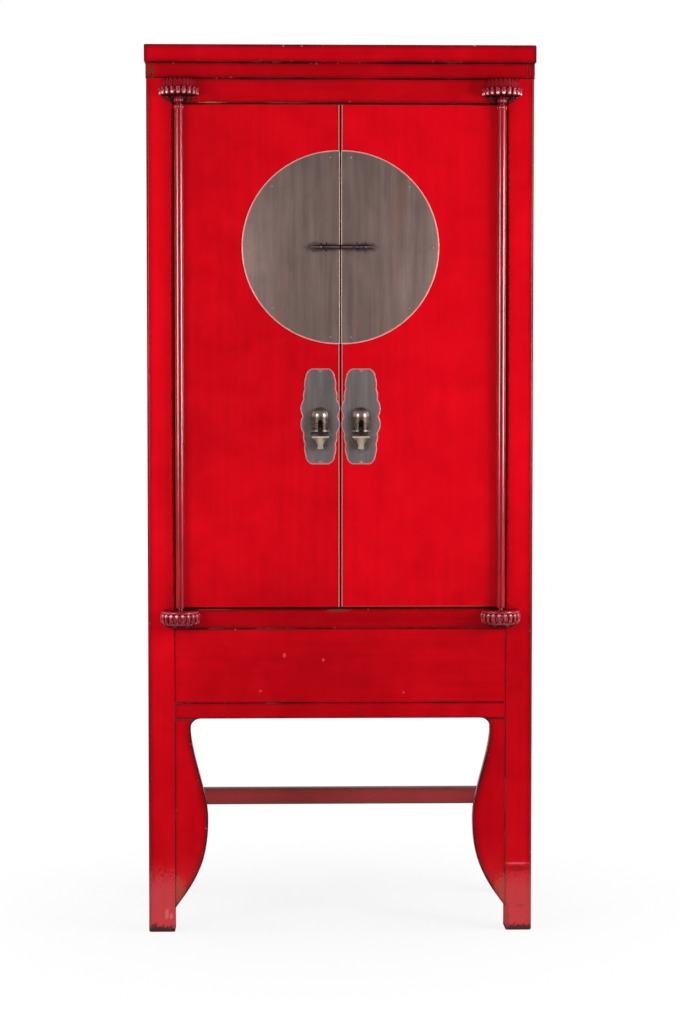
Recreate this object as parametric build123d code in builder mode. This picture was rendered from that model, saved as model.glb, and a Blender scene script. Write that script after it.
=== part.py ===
from build123d import *
from math import cos, radians, sin
import os

os.makedirs("parts", exist_ok=True)

# A red lacquered wedding cabinet on four corner posts. Two flat doors are hung on round poles that
# turn in carved lotus sockets, and close at a round brass plate with a sliding latch. Millimetres,
# +Z up, the front faces -Y, the origin is on the floor in the middle of everything that is drawn.

# ------------------------------------------------------------------ driving dimensions: the case
cabinet_height = 1850
body_width = 804
body_depth = 450
post_width = 55
rear_post_width = 40
post_depth = 50
post_edge_radius = 5
foot_bevel = 2.5
joint_bevel = 1.2           # small bevel on a member's edge, which shows its joint as a line
tenon_length = 24
tenon_thickness = 10
tenon_shoulder = 5          # how far a tenon is shorter than its rail, above and below
mortise_spare = 1           # empty room at the end of a tenon

# Top board and cornice
top_thickness = 37
top_overhang = 4
top_member_width = 62
top_edge_radius = 3
top_panel_thickness = 14
top_panel_drop = 1.5        # the panel lies this far under the frame's upper face
top_tongue_length = 8
top_tongue_thickness = 7
cornice_height = 32.5
cornice_overhang = 1
cornice_depth = 42
cornice_side_thickness = 13
post_peg_side = 24          # square stub on each post's head, which locates the cornice
post_peg_height = 18
post_peg_inset = 14         # from the post's inner face to the middle of its stub

# Front frame, from the floor up
apron_bottom = 450
apron_height = 33
skirt_height = 156
sill_height = 41
sill_depth = 45
rail_thickness = 30
top_rail_height = 51
skirt_thickness = 16
skirt_recess = 0.6

# Front brackets, seen from the front
bracket_thickness = 22
bracket_neck_width = 33.3
bracket_corner_radius = 20
bracket_belly_width = 69.5
bracket_belly_height = 238
bracket_toe_height = 50
bracket_neck_pull = 56      # how long each curve keeps the direction it starts or ends in
bracket_belly_pull = 90
bracket_toe_pull = 60
bracket_toe_slope = 0.75    # how far the toe runs outwards for each unit it drops

# Sides, back and stretchers
side_rail_thickness = 28
side_top_rail_height = 58
side_lower_rail_height = 50
side_panel_thickness = 10
side_panel_recess = 7
rear_top_rail_height = 58
rear_lower_rail_height = 50
rear_rail_thickness = 28
back_board_count = 5
back_board_thickness = 10
back_board_recess = 10
back_board_gap = 0.5
groove_depth = 7            # how deep a panel's edge sits in its rails and posts
stretcher_height = 36
stretcher_thickness = 28
stretcher_bottom = 200

# Inside
floor_thickness = 16
shelf_thickness = 16
shelf_spacing = 348         # from the floor to the lower shelf, and from that to the upper one
shelf_setback = 52          # the shelves' front edge lies this far behind the front
bearer_width = 18
bearer_height = 24
stop_width = 12
stop_height = 11
stop_length = 560
stop_clearance = 0.5

# ------------------------------------------------------------------ driving dimensions: the doors
door_thickness = 22
door_side_gap = 3
door_top_gap = 3
door_bottom_gap = 4
meeting_gap = 2.4
door_edge_bevel = 0.8
batten_height = 62
batten_thickness = 15
batten_end_gap = 22         # from a batten's ends to the door's own edges
batten_inset = 165          # from a batten to the door's upper or lower edge

# Poles and lotus sockets
pole_radius = 9.5
pole_side_gap = 3.2         # between a pole and the post beside it
pole_forward = 8            # the pole's axis stands this far in front of the posts
pole_foot_gap = 2           # between the pole's foot and the top of the lower socket
pole_glue_line = 0.05
pivot_radius = 5.5
pivot_running_gap = 0.05
pivot_end_gap = 0.4
lower_pivot_length = 18
upper_pivot_length = 30
socket_petals = 20
petal_groove_radius = 1.6   # the groove between two petals of an upper socket
petal_scoop_radius = 6      # the hollow carved into each petal of a lower socket
petal_scoop_depth = 2.2
upper_socket_mouth_gap = 1.5    # between the doors' upper edge and the upper socket
upper_socket_mouth_radius = 13
upper_socket_calyx_radius = 22
upper_socket_calyx_height = 7
upper_socket_bowl_radius = 36
upper_socket_bowl_height = 15
upper_socket_belly_radius = 41.5
upper_socket_belly_height = 20
upper_socket_waist_radius = 40
upper_socket_waist_height = 25
upper_socket_rim_radius = 42.5
upper_socket_rim_height = 30.5
upper_socket_neck_radius = 37
upper_socket_neck_height = 31.5
upper_socket_height = 49
lower_socket_lip_radius = 33
lower_socket_rim_radius = 41
lower_socket_rim_drop = 6.5
lower_socket_belly_drop = 22
lower_socket_bowl_radius = 35
lower_socket_bowl_drop = 32
lower_socket_foot_radius = 15
lower_socket_height = 40

# ------------------------------------------------------------------ driving dimensions: the brass
disc_radius = 200.4
disc_centre_offset = 4.8    # each half is a little more than half a circle
disc_thickness = 2
disc_drop = 294             # from the doors' upper edge down to the middle of the disc
brass_edge_gap = 0.3        # from a plate's straight edge to the edge of its door
disc_nail_count = 5
disc_nail_inset = 14
disc_nail_end_angle = 85    # the first and last nails lie this far from the level, in degrees
nail_head_radius = 2.4
nail_head_height = 1.2
nail_shank_radius = 0.9
nail_length = 12
nail_glue_line = 0.05
nail_end_gap = 1            # empty room under a nail's point

# Latch bar, in two halves: a fixed keeper on the left door, a guide with its bolt on the right one
bar_forward = 15            # the bar's axis stands this far in front of the doors
bar_radius = 5.2
keeper_length = 40
keeper_knob_length = 13.5
guide_length = 22.5
bar_end_gap = 0.6           # from a tube's end to the edge of its door
bolt_radius = 3.6
bolt_running_gap = 0.06
bolt_travel = 8
bolt_stop_gap = 0.4         # left between the knob and the guide when the bolt is shot
bolt_entry_gap = 0.3        # round the bolt's nose in the keeper
bolt_knob_length = 20
bolt_nose_length = 1        # how far the bolt's nose stays inside the guide at rest
knob_ridge_radius = 9.4
knob_ridge_width = 2.6
knob_waist_radius = 5
finial_length = 20          # the tapered tip beyond each knob
finial_radius = 5.4
finial_tip_radius = 1.6
bar_foot_width = 7
bar_foot_height = 9

# Lobed plates and pulls
plate_width = 82
plate_height = 199.5
plate_thickness = 1.6
plate_drop = 644.5          # from the doors' upper edge down to the middle of a plate
plate_edge_gap = 0.2        # from a plate's widest point to the edge of its door
cusp_depth = 4.2            # the notch between the two middle lobes, at half the plate's height
lobe_height = 35            # each middle lobe runs this far from the plate's middle
lobe_end_inset = 6
side_lobe_height = 22       # a flatter lobe above it
side_lobe_end_inset = 8.6
side_lobe_swell = 1.9
shoulder_inset = 10.6
shoulder_drop = 17.5
shoulder_swell = 1.8
corner_swell = 4.4
plate_flat_half_width = 17
plate_nail_inset = 4.5
pin_below_plate_middle = 24.5
housing_height = 50
housing_foot_drop = 6.5     # from the pin down to the housing's lower edge
housing_foot_radius = 20
housing_foot_thickness = 2.2
housing_waist_radius = 17.4
housing_ring_spacing = 4.6
housing_ring_radius = 0.9
housing_ring_count = 3
housing_shoulder_radius = 17
housing_shoulder_drop = 16.5
slot_width = 10
slot_height = 24
slot_floor = 2.5            # metal left behind the slot, against the plate
pin_radius = 1.8
pin_length = 30
pin_forward = 11            # the pin's axis stands this far in front of the plate
pin_running_gap = 0.06
pin_glue_line = 0.02
eye_radius = 4.4
eye_width = 8.4
pendant_neck_drop = 16.8    # from the pin down to the broad top of the pendant
pendant_top_width = 35
pendant_top_height = 2.6    # the straight edge of the broad top
pendant_waist_width = 10.5
pendant_waist_drop = 20     # from the broad top down to the waist
pendant_flank_hollow = 2.5  # how far its flanks curve in
pendant_foot_width = 13
pendant_foot_height = 3
pendant_foot_drop = 3.5     # from the waist down to the foot
pendant_thickness = 8
pendant_neck_thickness = 6
pendant_edge_radius = 1

# ------------------------------------------------------------------ places that follow from them
socket_reach = pole_forward + max(upper_socket_rim_radius, lower_socket_rim_radius)
front_y = -(body_depth - socket_reach) / 2
back_y = front_y + body_depth
half_body = body_width / 2
post_inner_x = half_body - post_width
inner_x = {"front": post_inner_x, "rear": half_body - rear_post_width}
post_rear_y = front_y + post_depth
rear_post_front_y = back_y - post_depth

top_bottom = cabinet_height - top_thickness
cornice_bottom = top_bottom - cornice_height
top_rail_bottom = cornice_bottom - top_rail_height
skirt_bottom = apron_bottom + apron_height
sill_bottom = skirt_bottom + skirt_height
sill_top = sill_bottom + sill_height
side_top_rail_bottom = cornice_bottom - side_top_rail_height
rear_top_rail_bottom = cornice_bottom - rear_top_rail_height
side_panel_outer_x = half_body - side_panel_recess
side_panel_inner_x = side_panel_outer_x - side_panel_thickness
back_boards_y = back_y - back_board_recess - back_board_thickness

door_bottom = sill_top + door_bottom_gap
door_top = top_rail_bottom - door_top_gap
door_height = door_top - door_bottom
door_outer_x = post_inner_x - door_side_gap
door_inner_x = meeting_gap / 2
pole_x = post_inner_x - pole_side_gap - pole_radius
pole_y = front_y - pole_forward
lower_socket_top = sill_top
upper_socket_bottom = door_top + upper_socket_mouth_gap
pole_bottom = lower_socket_top + pole_foot_gap

disc_z = door_top - disc_drop
plate_z = door_top - plate_drop
plate_x = door_inner_x + plate_edge_gap + plate_width / 2
bar_y = front_y - bar_forward
pin_y = front_y - plate_thickness - pin_forward
pin_z = plate_z - pin_below_plate_middle
housing_bottom = pin_z - housing_foot_drop

SIDES = {"left": -1, "right": 1}


def save(builder, name):
    """Label a finished piece and write it to its own file."""
    builder.part.label = name
    export_step(builder.part, f"parts/{name}.step")


def facing_front(forward):
    """A plane that faces the viewer, this far in front of the posts' front faces."""
    return Plane.XZ.offset(forward - front_y)


def add_box(start, end, mode=Mode.ADD):
    """A block between any two opposite corners."""
    middle = [(a + b) / 2 for a, b in zip(start, end)]
    size = [abs(b - a) for a, b in zip(start, end)]
    with Locations(tuple(middle)):
        Box(*size, mode=mode)


# ------------------------------------------------------------------ joints between rails and posts
# A rail along X is known by its height and by its middle in Y, one along Y by its middle in X.
front_rails = {
    "front_top_rail": (top_rail_bottom, top_rail_height, rail_thickness),
    "door_sill": (sill_bottom, sill_height, sill_depth),
    "front_apron": (apron_bottom, apron_height, rail_thickness),
}
rear_rails = {
    "rear_top_rail": (rear_top_rail_bottom, rear_top_rail_height, rear_rail_thickness),
    "rear_lower_rail": (apron_bottom, rear_lower_rail_height, rear_rail_thickness),
    "rear_stretcher": (stretcher_bottom, stretcher_height, stretcher_thickness),
}
side_rails = {
    "top_rail": (side_top_rail_bottom, side_top_rail_height, side_rail_thickness),
    "lower_rail": (apron_bottom, side_lower_rail_height, side_rail_thickness),
    "stretcher": (stretcher_bottom, stretcher_height, stretcher_thickness),
}


def x_tenons(end, bottom, height, middle_y, spare, mode):
    """The tenons at both ends of a rail along X, or their mortises when spare room is given."""
    reach = inner_x[end] + tenon_length + spare
    add_box(
        (-reach, middle_y - tenon_thickness / 2, bottom + tenon_shoulder),
        (reach, middle_y + tenon_thickness / 2, bottom + height - tenon_shoulder),
        mode,
    )


def y_tenons(bottom, height, middle_x, spare, mode):
    """The same for a rail along Y, between a front and a rear post."""
    reach = tenon_length + spare
    half_thickness = tenon_thickness / 2
    add_box(
        (middle_x - half_thickness, post_rear_y - reach, bottom + tenon_shoulder),
        (middle_x + half_thickness, rear_post_front_y + reach, bottom + height - tenon_shoulder),
        mode,
    )


def middle_of_rail(end, depth):
    """Where the middle of a front or rear rail lies in Y: the rails are flush with the posts."""
    return front_y + depth / 2 if end == "front" else back_y - depth / 2


def side_panel_room(side, mode):
    """A side panel, or the grooves for it: its edges sit in two posts and two rails."""
    add_box(
        (
            side * side_panel_inner_x,
            post_rear_y - groove_depth,
            apron_bottom + side_lower_rail_height - groove_depth,
        ),
        (
            side * side_panel_outer_x,
            rear_post_front_y + groove_depth,
            side_top_rail_bottom + groove_depth,
        ),
        mode,
    )


def cut_back_board_grooves():
    """The grooves for the back boards, in the rear posts and rails."""
    add_box(
        (
            -(inner_x["rear"] + groove_depth),
            back_boards_y,
            apron_bottom + rear_lower_rail_height - groove_depth,
        ),
        (
            inner_x["rear"] + groove_depth,
            back_boards_y + back_board_thickness,
            rear_top_rail_bottom + groove_depth,
        ),
        Mode.SUBTRACT,
    )


# ------------------------------------------------------------------ four corner posts
for end, post_y in {"front": front_y, "rear": rear_post_front_y}.items():
    rails_across = front_rails if end == "front" else rear_rails
    width = half_body - inner_x[end]
    for side_name, side in SIDES.items():
        with BuildPart() as post:
            with BuildSketch():
                with Locations((side * (inner_x[end] + width / 2), post_y + post_depth / 2)):
                    Rectangle(width, post_depth)
            extrude(amount=cornice_bottom)
            upright = post.edges().filter_by(Axis.Z)
            outer_edges = upright.sort_by(Axis.X)[:2] if side < 0 else upright.sort_by(Axis.X)[-2:]
            fillet(outer_edges, post_edge_radius)
            chamfer(post.faces().sort_by(Axis.Z)[0].edges(), foot_bevel)
            with BuildSketch(Plane.XY.offset(cornice_bottom)):
                peg_x = side * (inner_x[end] + post_peg_inset)
                with Locations((peg_x, middle_of_rail(end, cornice_depth))):
                    Rectangle(post_peg_side, post_peg_side)
            extrude(amount=post_peg_height)
            for bottom, height, depth in rails_across.values():
                x_tenons(end, bottom, height, middle_of_rail(end, depth), mortise_spare, Mode.SUBTRACT)
            for bottom, height, depth in side_rails.values():
                middle_x = side * (half_body - depth / 2)
                y_tenons(bottom, height, middle_x, mortise_spare, Mode.SUBTRACT)
            side_panel_room(side, Mode.SUBTRACT)
            if end == "rear":
                cut_back_board_grooves()
        save(post, f"{end}_{side_name}_post")

# ------------------------------------------------------------------ rails along the front and back
for end, rails in {"front": front_rails, "rear": rear_rails}.items():
    for rail_name, (bottom, height, depth) in rails.items():
        middle_y = middle_of_rail(end, depth)
        with BuildPart() as rail:
            add_box(
                (-inner_x[end], middle_y - depth / 2, bottom),
                (inner_x[end], middle_y + depth / 2, bottom + height),
            )
            faces_by_depth = rail.faces().sort_by(Axis.Y)
            shown_face = faces_by_depth[0] if end == "front" else faces_by_depth[-1]
            long_edges = shown_face.edges().filter_by(Axis.X)
            end_edges = shown_face.edges().filter_by(Axis.Z)
            chamfer(long_edges + end_edges if rail_name == "front_apron" else long_edges, joint_bevel)
            x_tenons(end, bottom, height, middle_y, 0, Mode.ADD)
            if end == "rear" and rail_name != "rear_stretcher":
                cut_back_board_grooves()
        save(rail, rail_name)

# ------------------------------------------------------------------ rails along the sides
for side_name, side in SIDES.items():
    for rail_name, (bottom, height, thickness) in side_rails.items():
        middle_x = side * (half_body - thickness / 2)
        with BuildPart() as rail:
            add_box(
                (middle_x - thickness / 2, post_rear_y, bottom),
                (middle_x + thickness / 2, rear_post_front_y, bottom + height),
            )
            faces_by_width = rail.faces().sort_by(Axis.X)
            shown_face = faces_by_width[0] if side < 0 else faces_by_width[-1]
            chamfer(shown_face.edges().filter_by(Axis.Y), joint_bevel)
            y_tenons(bottom, height, middle_x, 0, Mode.ADD)
            if rail_name != "stretcher":
                side_panel_room(side, Mode.SUBTRACT)
        save(rail, f"{side_name}_{rail_name}")

# ------------------------------------------------------------------ skirt, brackets, panels
with BuildPart() as skirt_panel:
    add_box(
        (-post_inner_x, front_y + skirt_recess, skirt_bottom),
        (post_inner_x, front_y + skirt_recess + skirt_thickness, sill_bottom),
    )
    chamfer(skirt_panel.faces().sort_by(Axis.Y)[0].edges(), joint_bevel)
save(skirt_panel, "skirt_panel")


# Seen from the front: a cove under the apron, a swelling belly and a toe at the post
for side_name, side in SIDES.items():
    neck_x = post_inner_x - bracket_neck_width
    belly_x = post_inner_x - bracket_belly_width
    neck_z = apron_bottom - bracket_corner_radius
    cove_start = (side * (neck_x - bracket_corner_radius), apron_bottom)
    cove_end = (side * neck_x, neck_z)
    belly = (side * belly_x, bracket_belly_height)
    toe = (side * post_inner_x, bracket_toe_height)
    neck_handle = (side * neck_x, neck_z - bracket_neck_pull)
    belly_handle = (side * belly_x, bracket_belly_height + bracket_neck_pull)
    lower_belly_handle = (side * belly_x, bracket_belly_height - bracket_belly_pull)
    toe_handle = (
        side * (post_inner_x - bracket_toe_slope * bracket_toe_pull),
        bracket_toe_height + bracket_toe_pull,
    )
    with BuildPart() as bracket:
        with BuildSketch(facing_front(0)):
            with BuildLine():
                Line((side * post_inner_x, apron_bottom), cove_start)
                RadiusArc(cove_start, cove_end, side * bracket_corner_radius)
                Bezier(cove_end, neck_handle, belly_handle, belly)
                Bezier(belly, lower_belly_handle, toe_handle, toe)
                Line(toe, (side * post_inner_x, apron_bottom))
            make_face()
        extrude(amount=-bracket_thickness)
        front_edges = bracket.faces().sort_by(Axis.Y)[0].edges()
        chamfer(front_edges.filter_by(GeomType.LINE), joint_bevel)
    save(bracket, f"{side_name}_bracket")

for side_name, side in SIDES.items():
    with BuildPart() as side_panel:
        side_panel_room(side, Mode.ADD)
    save(side_panel, f"{side_name}_side_panel")

with BuildPart() as back_boards:
    boards_end_x = inner_x["rear"] + groove_depth
    board_width = 2 * boards_end_x / back_board_count
    for board in range(back_board_count):
        board_x = -boards_end_x + board * board_width
        add_box(
            (board_x, back_boards_y, apron_bottom + rear_lower_rail_height - groove_depth),
            (
                board_x + board_width - back_board_gap,
                back_boards_y + back_board_thickness,
                rear_top_rail_bottom + groove_depth,
            ),
        )
save(back_boards, "back_boards")


# ------------------------------------------------------------------ cornice and top board
def cut_post_pegs():
    """The four square holes that take the stubs on the posts' heads."""
    for end in ("front", "rear"):
        peg_y = middle_of_rail(end, cornice_depth)
        for side in SIDES.values():
            peg_x = side * (inner_x[end] + post_peg_inset)
            with Locations((peg_x, peg_y, cornice_bottom + post_peg_height / 2)):
                Box(post_peg_side, post_peg_side, post_peg_height, mode=Mode.SUBTRACT)


cornice_half_width = half_body + cornice_overhang
cornice_front_y = front_y - cornice_overhang
for end in ("front", "rear"):
    low_y = cornice_front_y if end == "front" else back_y - cornice_depth
    high_y = front_y + cornice_depth if end == "front" else back_y
    with BuildPart() as cornice:
        add_box(
            (-cornice_half_width + cornice_side_thickness, low_y, cornice_bottom),
            (cornice_half_width - cornice_side_thickness, high_y, top_bottom),
        )
        if end == "front":
            chamfer(cornice.faces().sort_by(Axis.Y)[0].edges(), joint_bevel)
        cut_post_pegs()
    save(cornice, f"{end}_cornice")

with BuildPart() as side_cornices:
    for side in SIDES.values():
        add_box(
            (side * (cornice_half_width - cornice_side_thickness), cornice_front_y, cornice_bottom),
            (side * cornice_half_width, back_y, top_bottom),
        )
    chamfer(side_cornices.faces().filter_by(Axis.Y).sort_by(Axis.Y)[:2].edges(), joint_bevel)
save(side_cornices, "side_cornices")

top_half_width = half_body + top_overhang
top_front_y = front_y - top_overhang
panel_half_width = top_half_width - top_member_width
panel_front_y = top_front_y + top_member_width
panel_rear_y = back_y - top_member_width
panel_top = cabinet_height - top_panel_drop
tongue_top = panel_top - (top_panel_thickness - top_tongue_thickness) / 2


def add_top_panel(spare, mode):
    """The panel with its tongue all round, or the room for it in the frame."""
    add_box(
        (-panel_half_width, panel_front_y, panel_top - top_panel_thickness),
        (panel_half_width, panel_rear_y, panel_top),
        mode,
    )
    reach = top_tongue_length + spare
    add_box(
        (-panel_half_width - reach, panel_front_y - reach, tongue_top - top_tongue_thickness),
        (panel_half_width + reach, panel_rear_y + reach, tongue_top),
        mode,
    )


top_members = {
    "front": [
        (-top_half_width, top_front_y),
        (top_half_width, top_front_y),
        (panel_half_width, panel_front_y),
        (-panel_half_width, panel_front_y),
    ],
    "right": [
        (top_half_width, top_front_y),
        (top_half_width, back_y),
        (panel_half_width, panel_rear_y),
        (panel_half_width, panel_front_y),
    ],
    "rear": [
        (top_half_width, back_y),
        (-top_half_width, back_y),
        (-panel_half_width, panel_rear_y),
        (panel_half_width, panel_rear_y),
    ],
    "left": [
        (-top_half_width, back_y),
        (-top_half_width, top_front_y),
        (-panel_half_width, panel_front_y),
        (-panel_half_width, panel_rear_y),
    ],
}
for member_side, corners in top_members.items():
    along = Axis.X if member_side in ("front", "rear") else Axis.Y
    across = Axis.Y if member_side in ("front", "rear") else Axis.X
    with BuildPart() as top_member:
        with BuildSketch(Plane.XY.offset(top_bottom)):
            with BuildLine():
                Polyline(*corners, close=True)
            make_face()
        extrude(amount=top_thickness)
        outer_face = top_member.faces().filter_by(across).sort_by(across)
        outer_face = outer_face[0] if member_side in ("front", "left") else outer_face[-1]
        if member_side != "rear":
            fillet(outer_face.edges().filter_by(along), top_edge_radius)
        add_top_panel(mortise_spare, Mode.SUBTRACT)
    save(top_member, f"top_{member_side}_member")

with BuildPart() as top_panel:
    add_top_panel(0, Mode.ADD)
save(top_panel, "top_panel")

# ------------------------------------------------------------------ floor, shelves, bearers, stops
floor_top = sill_top
floor_front_y = front_y + sill_depth
shelf_front_y = front_y + shelf_setback
boards = {
    "floor_board": (floor_top - floor_thickness, floor_thickness, floor_front_y),
    "lower_shelf": (floor_top + shelf_spacing - shelf_thickness, shelf_thickness, shelf_front_y),
    "upper_shelf": (floor_top + 2 * shelf_spacing - shelf_thickness, shelf_thickness, shelf_front_y),
}
for board_name, (bottom, thickness, board_front_y) in boards.items():
    with BuildPart() as board:
        add_box(
            (-side_panel_inner_x, board_front_y, bottom),
            (side_panel_inner_x, back_boards_y, bottom + thickness),
        )
        for side in SIDES.values():
            for end, post_y in {"front": front_y, "rear": rear_post_front_y}.items():
                add_box(
                    (side * inner_x[end], post_y, bottom),
                    (side * half_body, post_y + post_depth, bottom + thickness),
                    Mode.SUBTRACT,
                )
    save(board, board_name)

with BuildPart() as bearers:
    for bottom, thickness, board_front_y in boards.values():
        for side in SIDES.values():
            add_box(
                (side * (side_panel_inner_x - bearer_width), post_rear_y, bottom - bearer_height),
                (side * side_panel_inner_x, rear_post_front_y, bottom),
            )
save(bearers, "bearers")

with BuildPart() as door_stops:
    stop_y = front_y + door_thickness + stop_clearance
    for bottom in (sill_top, top_rail_bottom - stop_height):
        add_box(
            (-stop_length / 2, stop_y, bottom),
            (stop_length / 2, stop_y + stop_width, bottom + stop_height),
        )
save(door_stops, "door_stops")


# ------------------------------------------------------------------ lotus sockets
# Points of each profile: the radius, and the height from the socket's face that holds the pole
upper_profile = [
    (upper_socket_mouth_radius, 0),
    (upper_socket_calyx_radius, upper_socket_calyx_height),
    (upper_socket_bowl_radius, upper_socket_bowl_height),
    (upper_socket_belly_radius, upper_socket_belly_height),
    (upper_socket_waist_radius, upper_socket_waist_height),
    (upper_socket_rim_radius, upper_socket_rim_height),
    (upper_socket_neck_radius, upper_socket_neck_height),
    (upper_socket_neck_radius, upper_socket_height),
]
lower_profile = [
    (lower_socket_foot_radius, -lower_socket_height),
    (lower_socket_bowl_radius, -lower_socket_bowl_drop),
    (lower_socket_rim_radius, -lower_socket_belly_drop),
    (lower_socket_rim_radius, -lower_socket_rim_drop),
    (lower_socket_lip_radius, 0),
]
for side_name, side in SIDES.items():
    for level in ("upper", "lower"):
        base_z = upper_socket_bottom if level == "upper" else lower_socket_top
        profile = upper_profile if level == "upper" else lower_profile
        pivot_length = upper_pivot_length if level == "upper" else lower_pivot_length
        bore_depth = pivot_length + pivot_end_gap
        bore_z = base_z + bore_depth / 2 if level == "upper" else base_z - bore_depth / 2
        if level == "upper":
            cutter_radius = petal_groove_radius
            cutter_distance = upper_socket_belly_radius
            first_cut = 180 / socket_petals
            cuts = socket_petals // 2
        else:
            cutter_radius = petal_scoop_radius
            cutter_distance = lower_socket_rim_radius + petal_scoop_radius - petal_scoop_depth
            first_cut = 0
            cuts = socket_petals // 2 + 1
        with BuildPart() as socket:
            with BuildSketch(Plane((side * pole_x, pole_y, base_z), (1, 0, 0), (0, -1, 0))):
                with BuildLine():
                    Polyline((0, profile[0][1]), *profile, (0, profile[-1][1]), close=True)
                make_face()
            revolve(axis=Axis((side * pole_x, pole_y, 0), (0, 0, 1)))
            with Locations((side * pole_x, pole_y, base_z + (profile[0][1] + profile[-1][1]) / 2)):
                with PolarLocations(
                    cutter_distance, cuts, 180 + first_cut, 180 - 2 * first_cut, endpoint=True
                ):
                    Cylinder(cutter_radius, upper_socket_height, mode=Mode.SUBTRACT)
            with Locations((side * pole_x, pole_y, bore_z)):
                Cylinder(pivot_radius + pivot_running_gap, bore_depth, mode=Mode.SUBTRACT)
            split(bisect_by=facing_front(0), keep=Keep.TOP)
        save(socket, f"{level}_{side_name}_socket")

# ------------------------------------------------------------------ doors and their poles
for side_name, side in SIDES.items():
    inner = side * door_inner_x
    with BuildPart() as door:
        add_box(
            (inner, front_y, door_bottom),
            (side * door_outer_x, front_y + door_thickness, door_top),
        )
        chamfer(door.faces().sort_by(Axis.Y)[0].edges(), door_edge_bevel)
        with Locations((side * pole_x, pole_y, (door_bottom + door_top) / 2)):
            Cylinder(pole_radius + pole_glue_line, 2 * door_height, mode=Mode.SUBTRACT)
        nail_holes = []
        for nail in range(disc_nail_count):
            turn = disc_nail_end_angle - nail * 2 * disc_nail_end_angle / (disc_nail_count - 1)
            nail_place = Vector(disc_radius - disc_nail_inset, 0).rotate(Axis.Z, turn)
            nail_holes.append((side * (disc_centre_offset + nail_place.X), disc_z + nail_place.Y))
        for end in (-1, 1):
            nail_holes.append((side * plate_x, plate_z + end * (plate_height / 2 - plate_nail_inset)))
        with BuildSketch(facing_front(0)):
            with Locations(*nail_holes):
                Circle(nail_shank_radius + nail_glue_line)
        extrude(amount=-nail_length, mode=Mode.SUBTRACT)
    save(door, f"{side_name}_door_panel")

    with BuildPart() as battens:
        door_back_y = front_y + door_thickness
        for bottom in (door_bottom + batten_inset, door_top - batten_inset - batten_height):
            add_box(
                (side * (door_inner_x + batten_end_gap), door_back_y, bottom),
                (
                    side * (door_outer_x - batten_end_gap),
                    door_back_y + batten_thickness,
                    bottom + batten_height,
                ),
            )
    save(battens, f"{side_name}_door_battens")

    with BuildPart() as pole:
        with BuildSketch(Plane.XY.offset(pole_bottom - lower_pivot_length - pole_foot_gap)):
            with Locations((side * pole_x, pole_y)):
                Circle(pivot_radius)
        extrude(amount=lower_pivot_length + pole_foot_gap)
        with BuildSketch(Plane.XY.offset(pole_bottom)):
            with Locations((side * pole_x, pole_y)):
                Circle(pole_radius)
        extrude(amount=door_top - pole_bottom)
        with BuildSketch(Plane.XY.offset(door_top)):
            with Locations((side * pole_x, pole_y)):
                Circle(pivot_radius)
        extrude(amount=upper_socket_mouth_gap + upper_pivot_length)
    save(pole, f"{side_name}_door_pole")

    # The two halves of the round plate lie on the doors, with their straight edges at the meeting
    with BuildPart() as half_disc:
        with BuildSketch(facing_front(0)):
            with Locations((side * disc_centre_offset, disc_z)):
                Circle(disc_radius)
            with Locations((inner + side * (brass_edge_gap - disc_radius), disc_z)):
                Rectangle(2 * disc_radius, 2 * disc_radius, mode=Mode.SUBTRACT)
            with Locations(*nail_holes[:disc_nail_count]):
                Circle(nail_shank_radius + nail_glue_line, mode=Mode.SUBTRACT)
        extrude(amount=disc_thickness)
    save(half_disc, f"{side_name}_half_disc")

    with BuildPart() as brass_nails:
        for spot, (nail_x, nail_z) in enumerate(nail_holes):
            seat = disc_thickness if spot < disc_nail_count else plate_thickness
            with BuildSketch(facing_front(seat)):
                with Locations((nail_x, nail_z)):
                    Circle(nail_head_radius)
            extrude(amount=nail_head_height, taper=30)
            with BuildSketch(facing_front(seat)):
                with Locations((nail_x, nail_z)):
                    Circle(nail_shank_radius)
            extrude(amount=-(nail_length + seat - nail_end_gap))
    save(brass_nails, f"{side_name}_brass_nails")


# ------------------------------------------------------------------ latch bar
bar_axis = Axis((0, bar_y, disc_z), (1, 0, 0))


def bar_section(points):
    """Half of a turned piece's section, from (x, radius) points along the bar's axis."""
    with BuildSketch(Plane((0, bar_y, disc_z), (1, 0, 0), (0, -1, 0))) as section:
        with BuildLine():
            Polyline((points[0][0], 0), *points, (points[-1][0], 0), close=True)
        make_face()
    return section.sketch


def knob_profile(start, length, direction):
    """A waisted knob between two ridges, and a tapered tip beyond it, from its start outwards."""
    steps = [
        (0, knob_ridge_radius),
        (knob_ridge_width, knob_ridge_radius),
        (knob_ridge_width, knob_waist_radius),
        (length / 2, bar_radius),
        (length - knob_ridge_width, knob_waist_radius),
        (length - knob_ridge_width, knob_ridge_radius - 1),
        (length, knob_ridge_radius - 2),
        (length, finial_radius),
        (length + finial_length / 4, finial_radius - 1),
        (length + finial_length, finial_tip_radius),
    ]
    return [(start + direction * step, radius) for step, radius in steps]


def bar_foot(middle_x):
    """The short foot that carries a tube on the disc."""
    add_box(
        (middle_x - bar_foot_width / 2, bar_y, disc_z - bar_foot_height / 2),
        (middle_x + bar_foot_width / 2, front_y - disc_thickness, disc_z + bar_foot_height / 2),
    )


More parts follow.
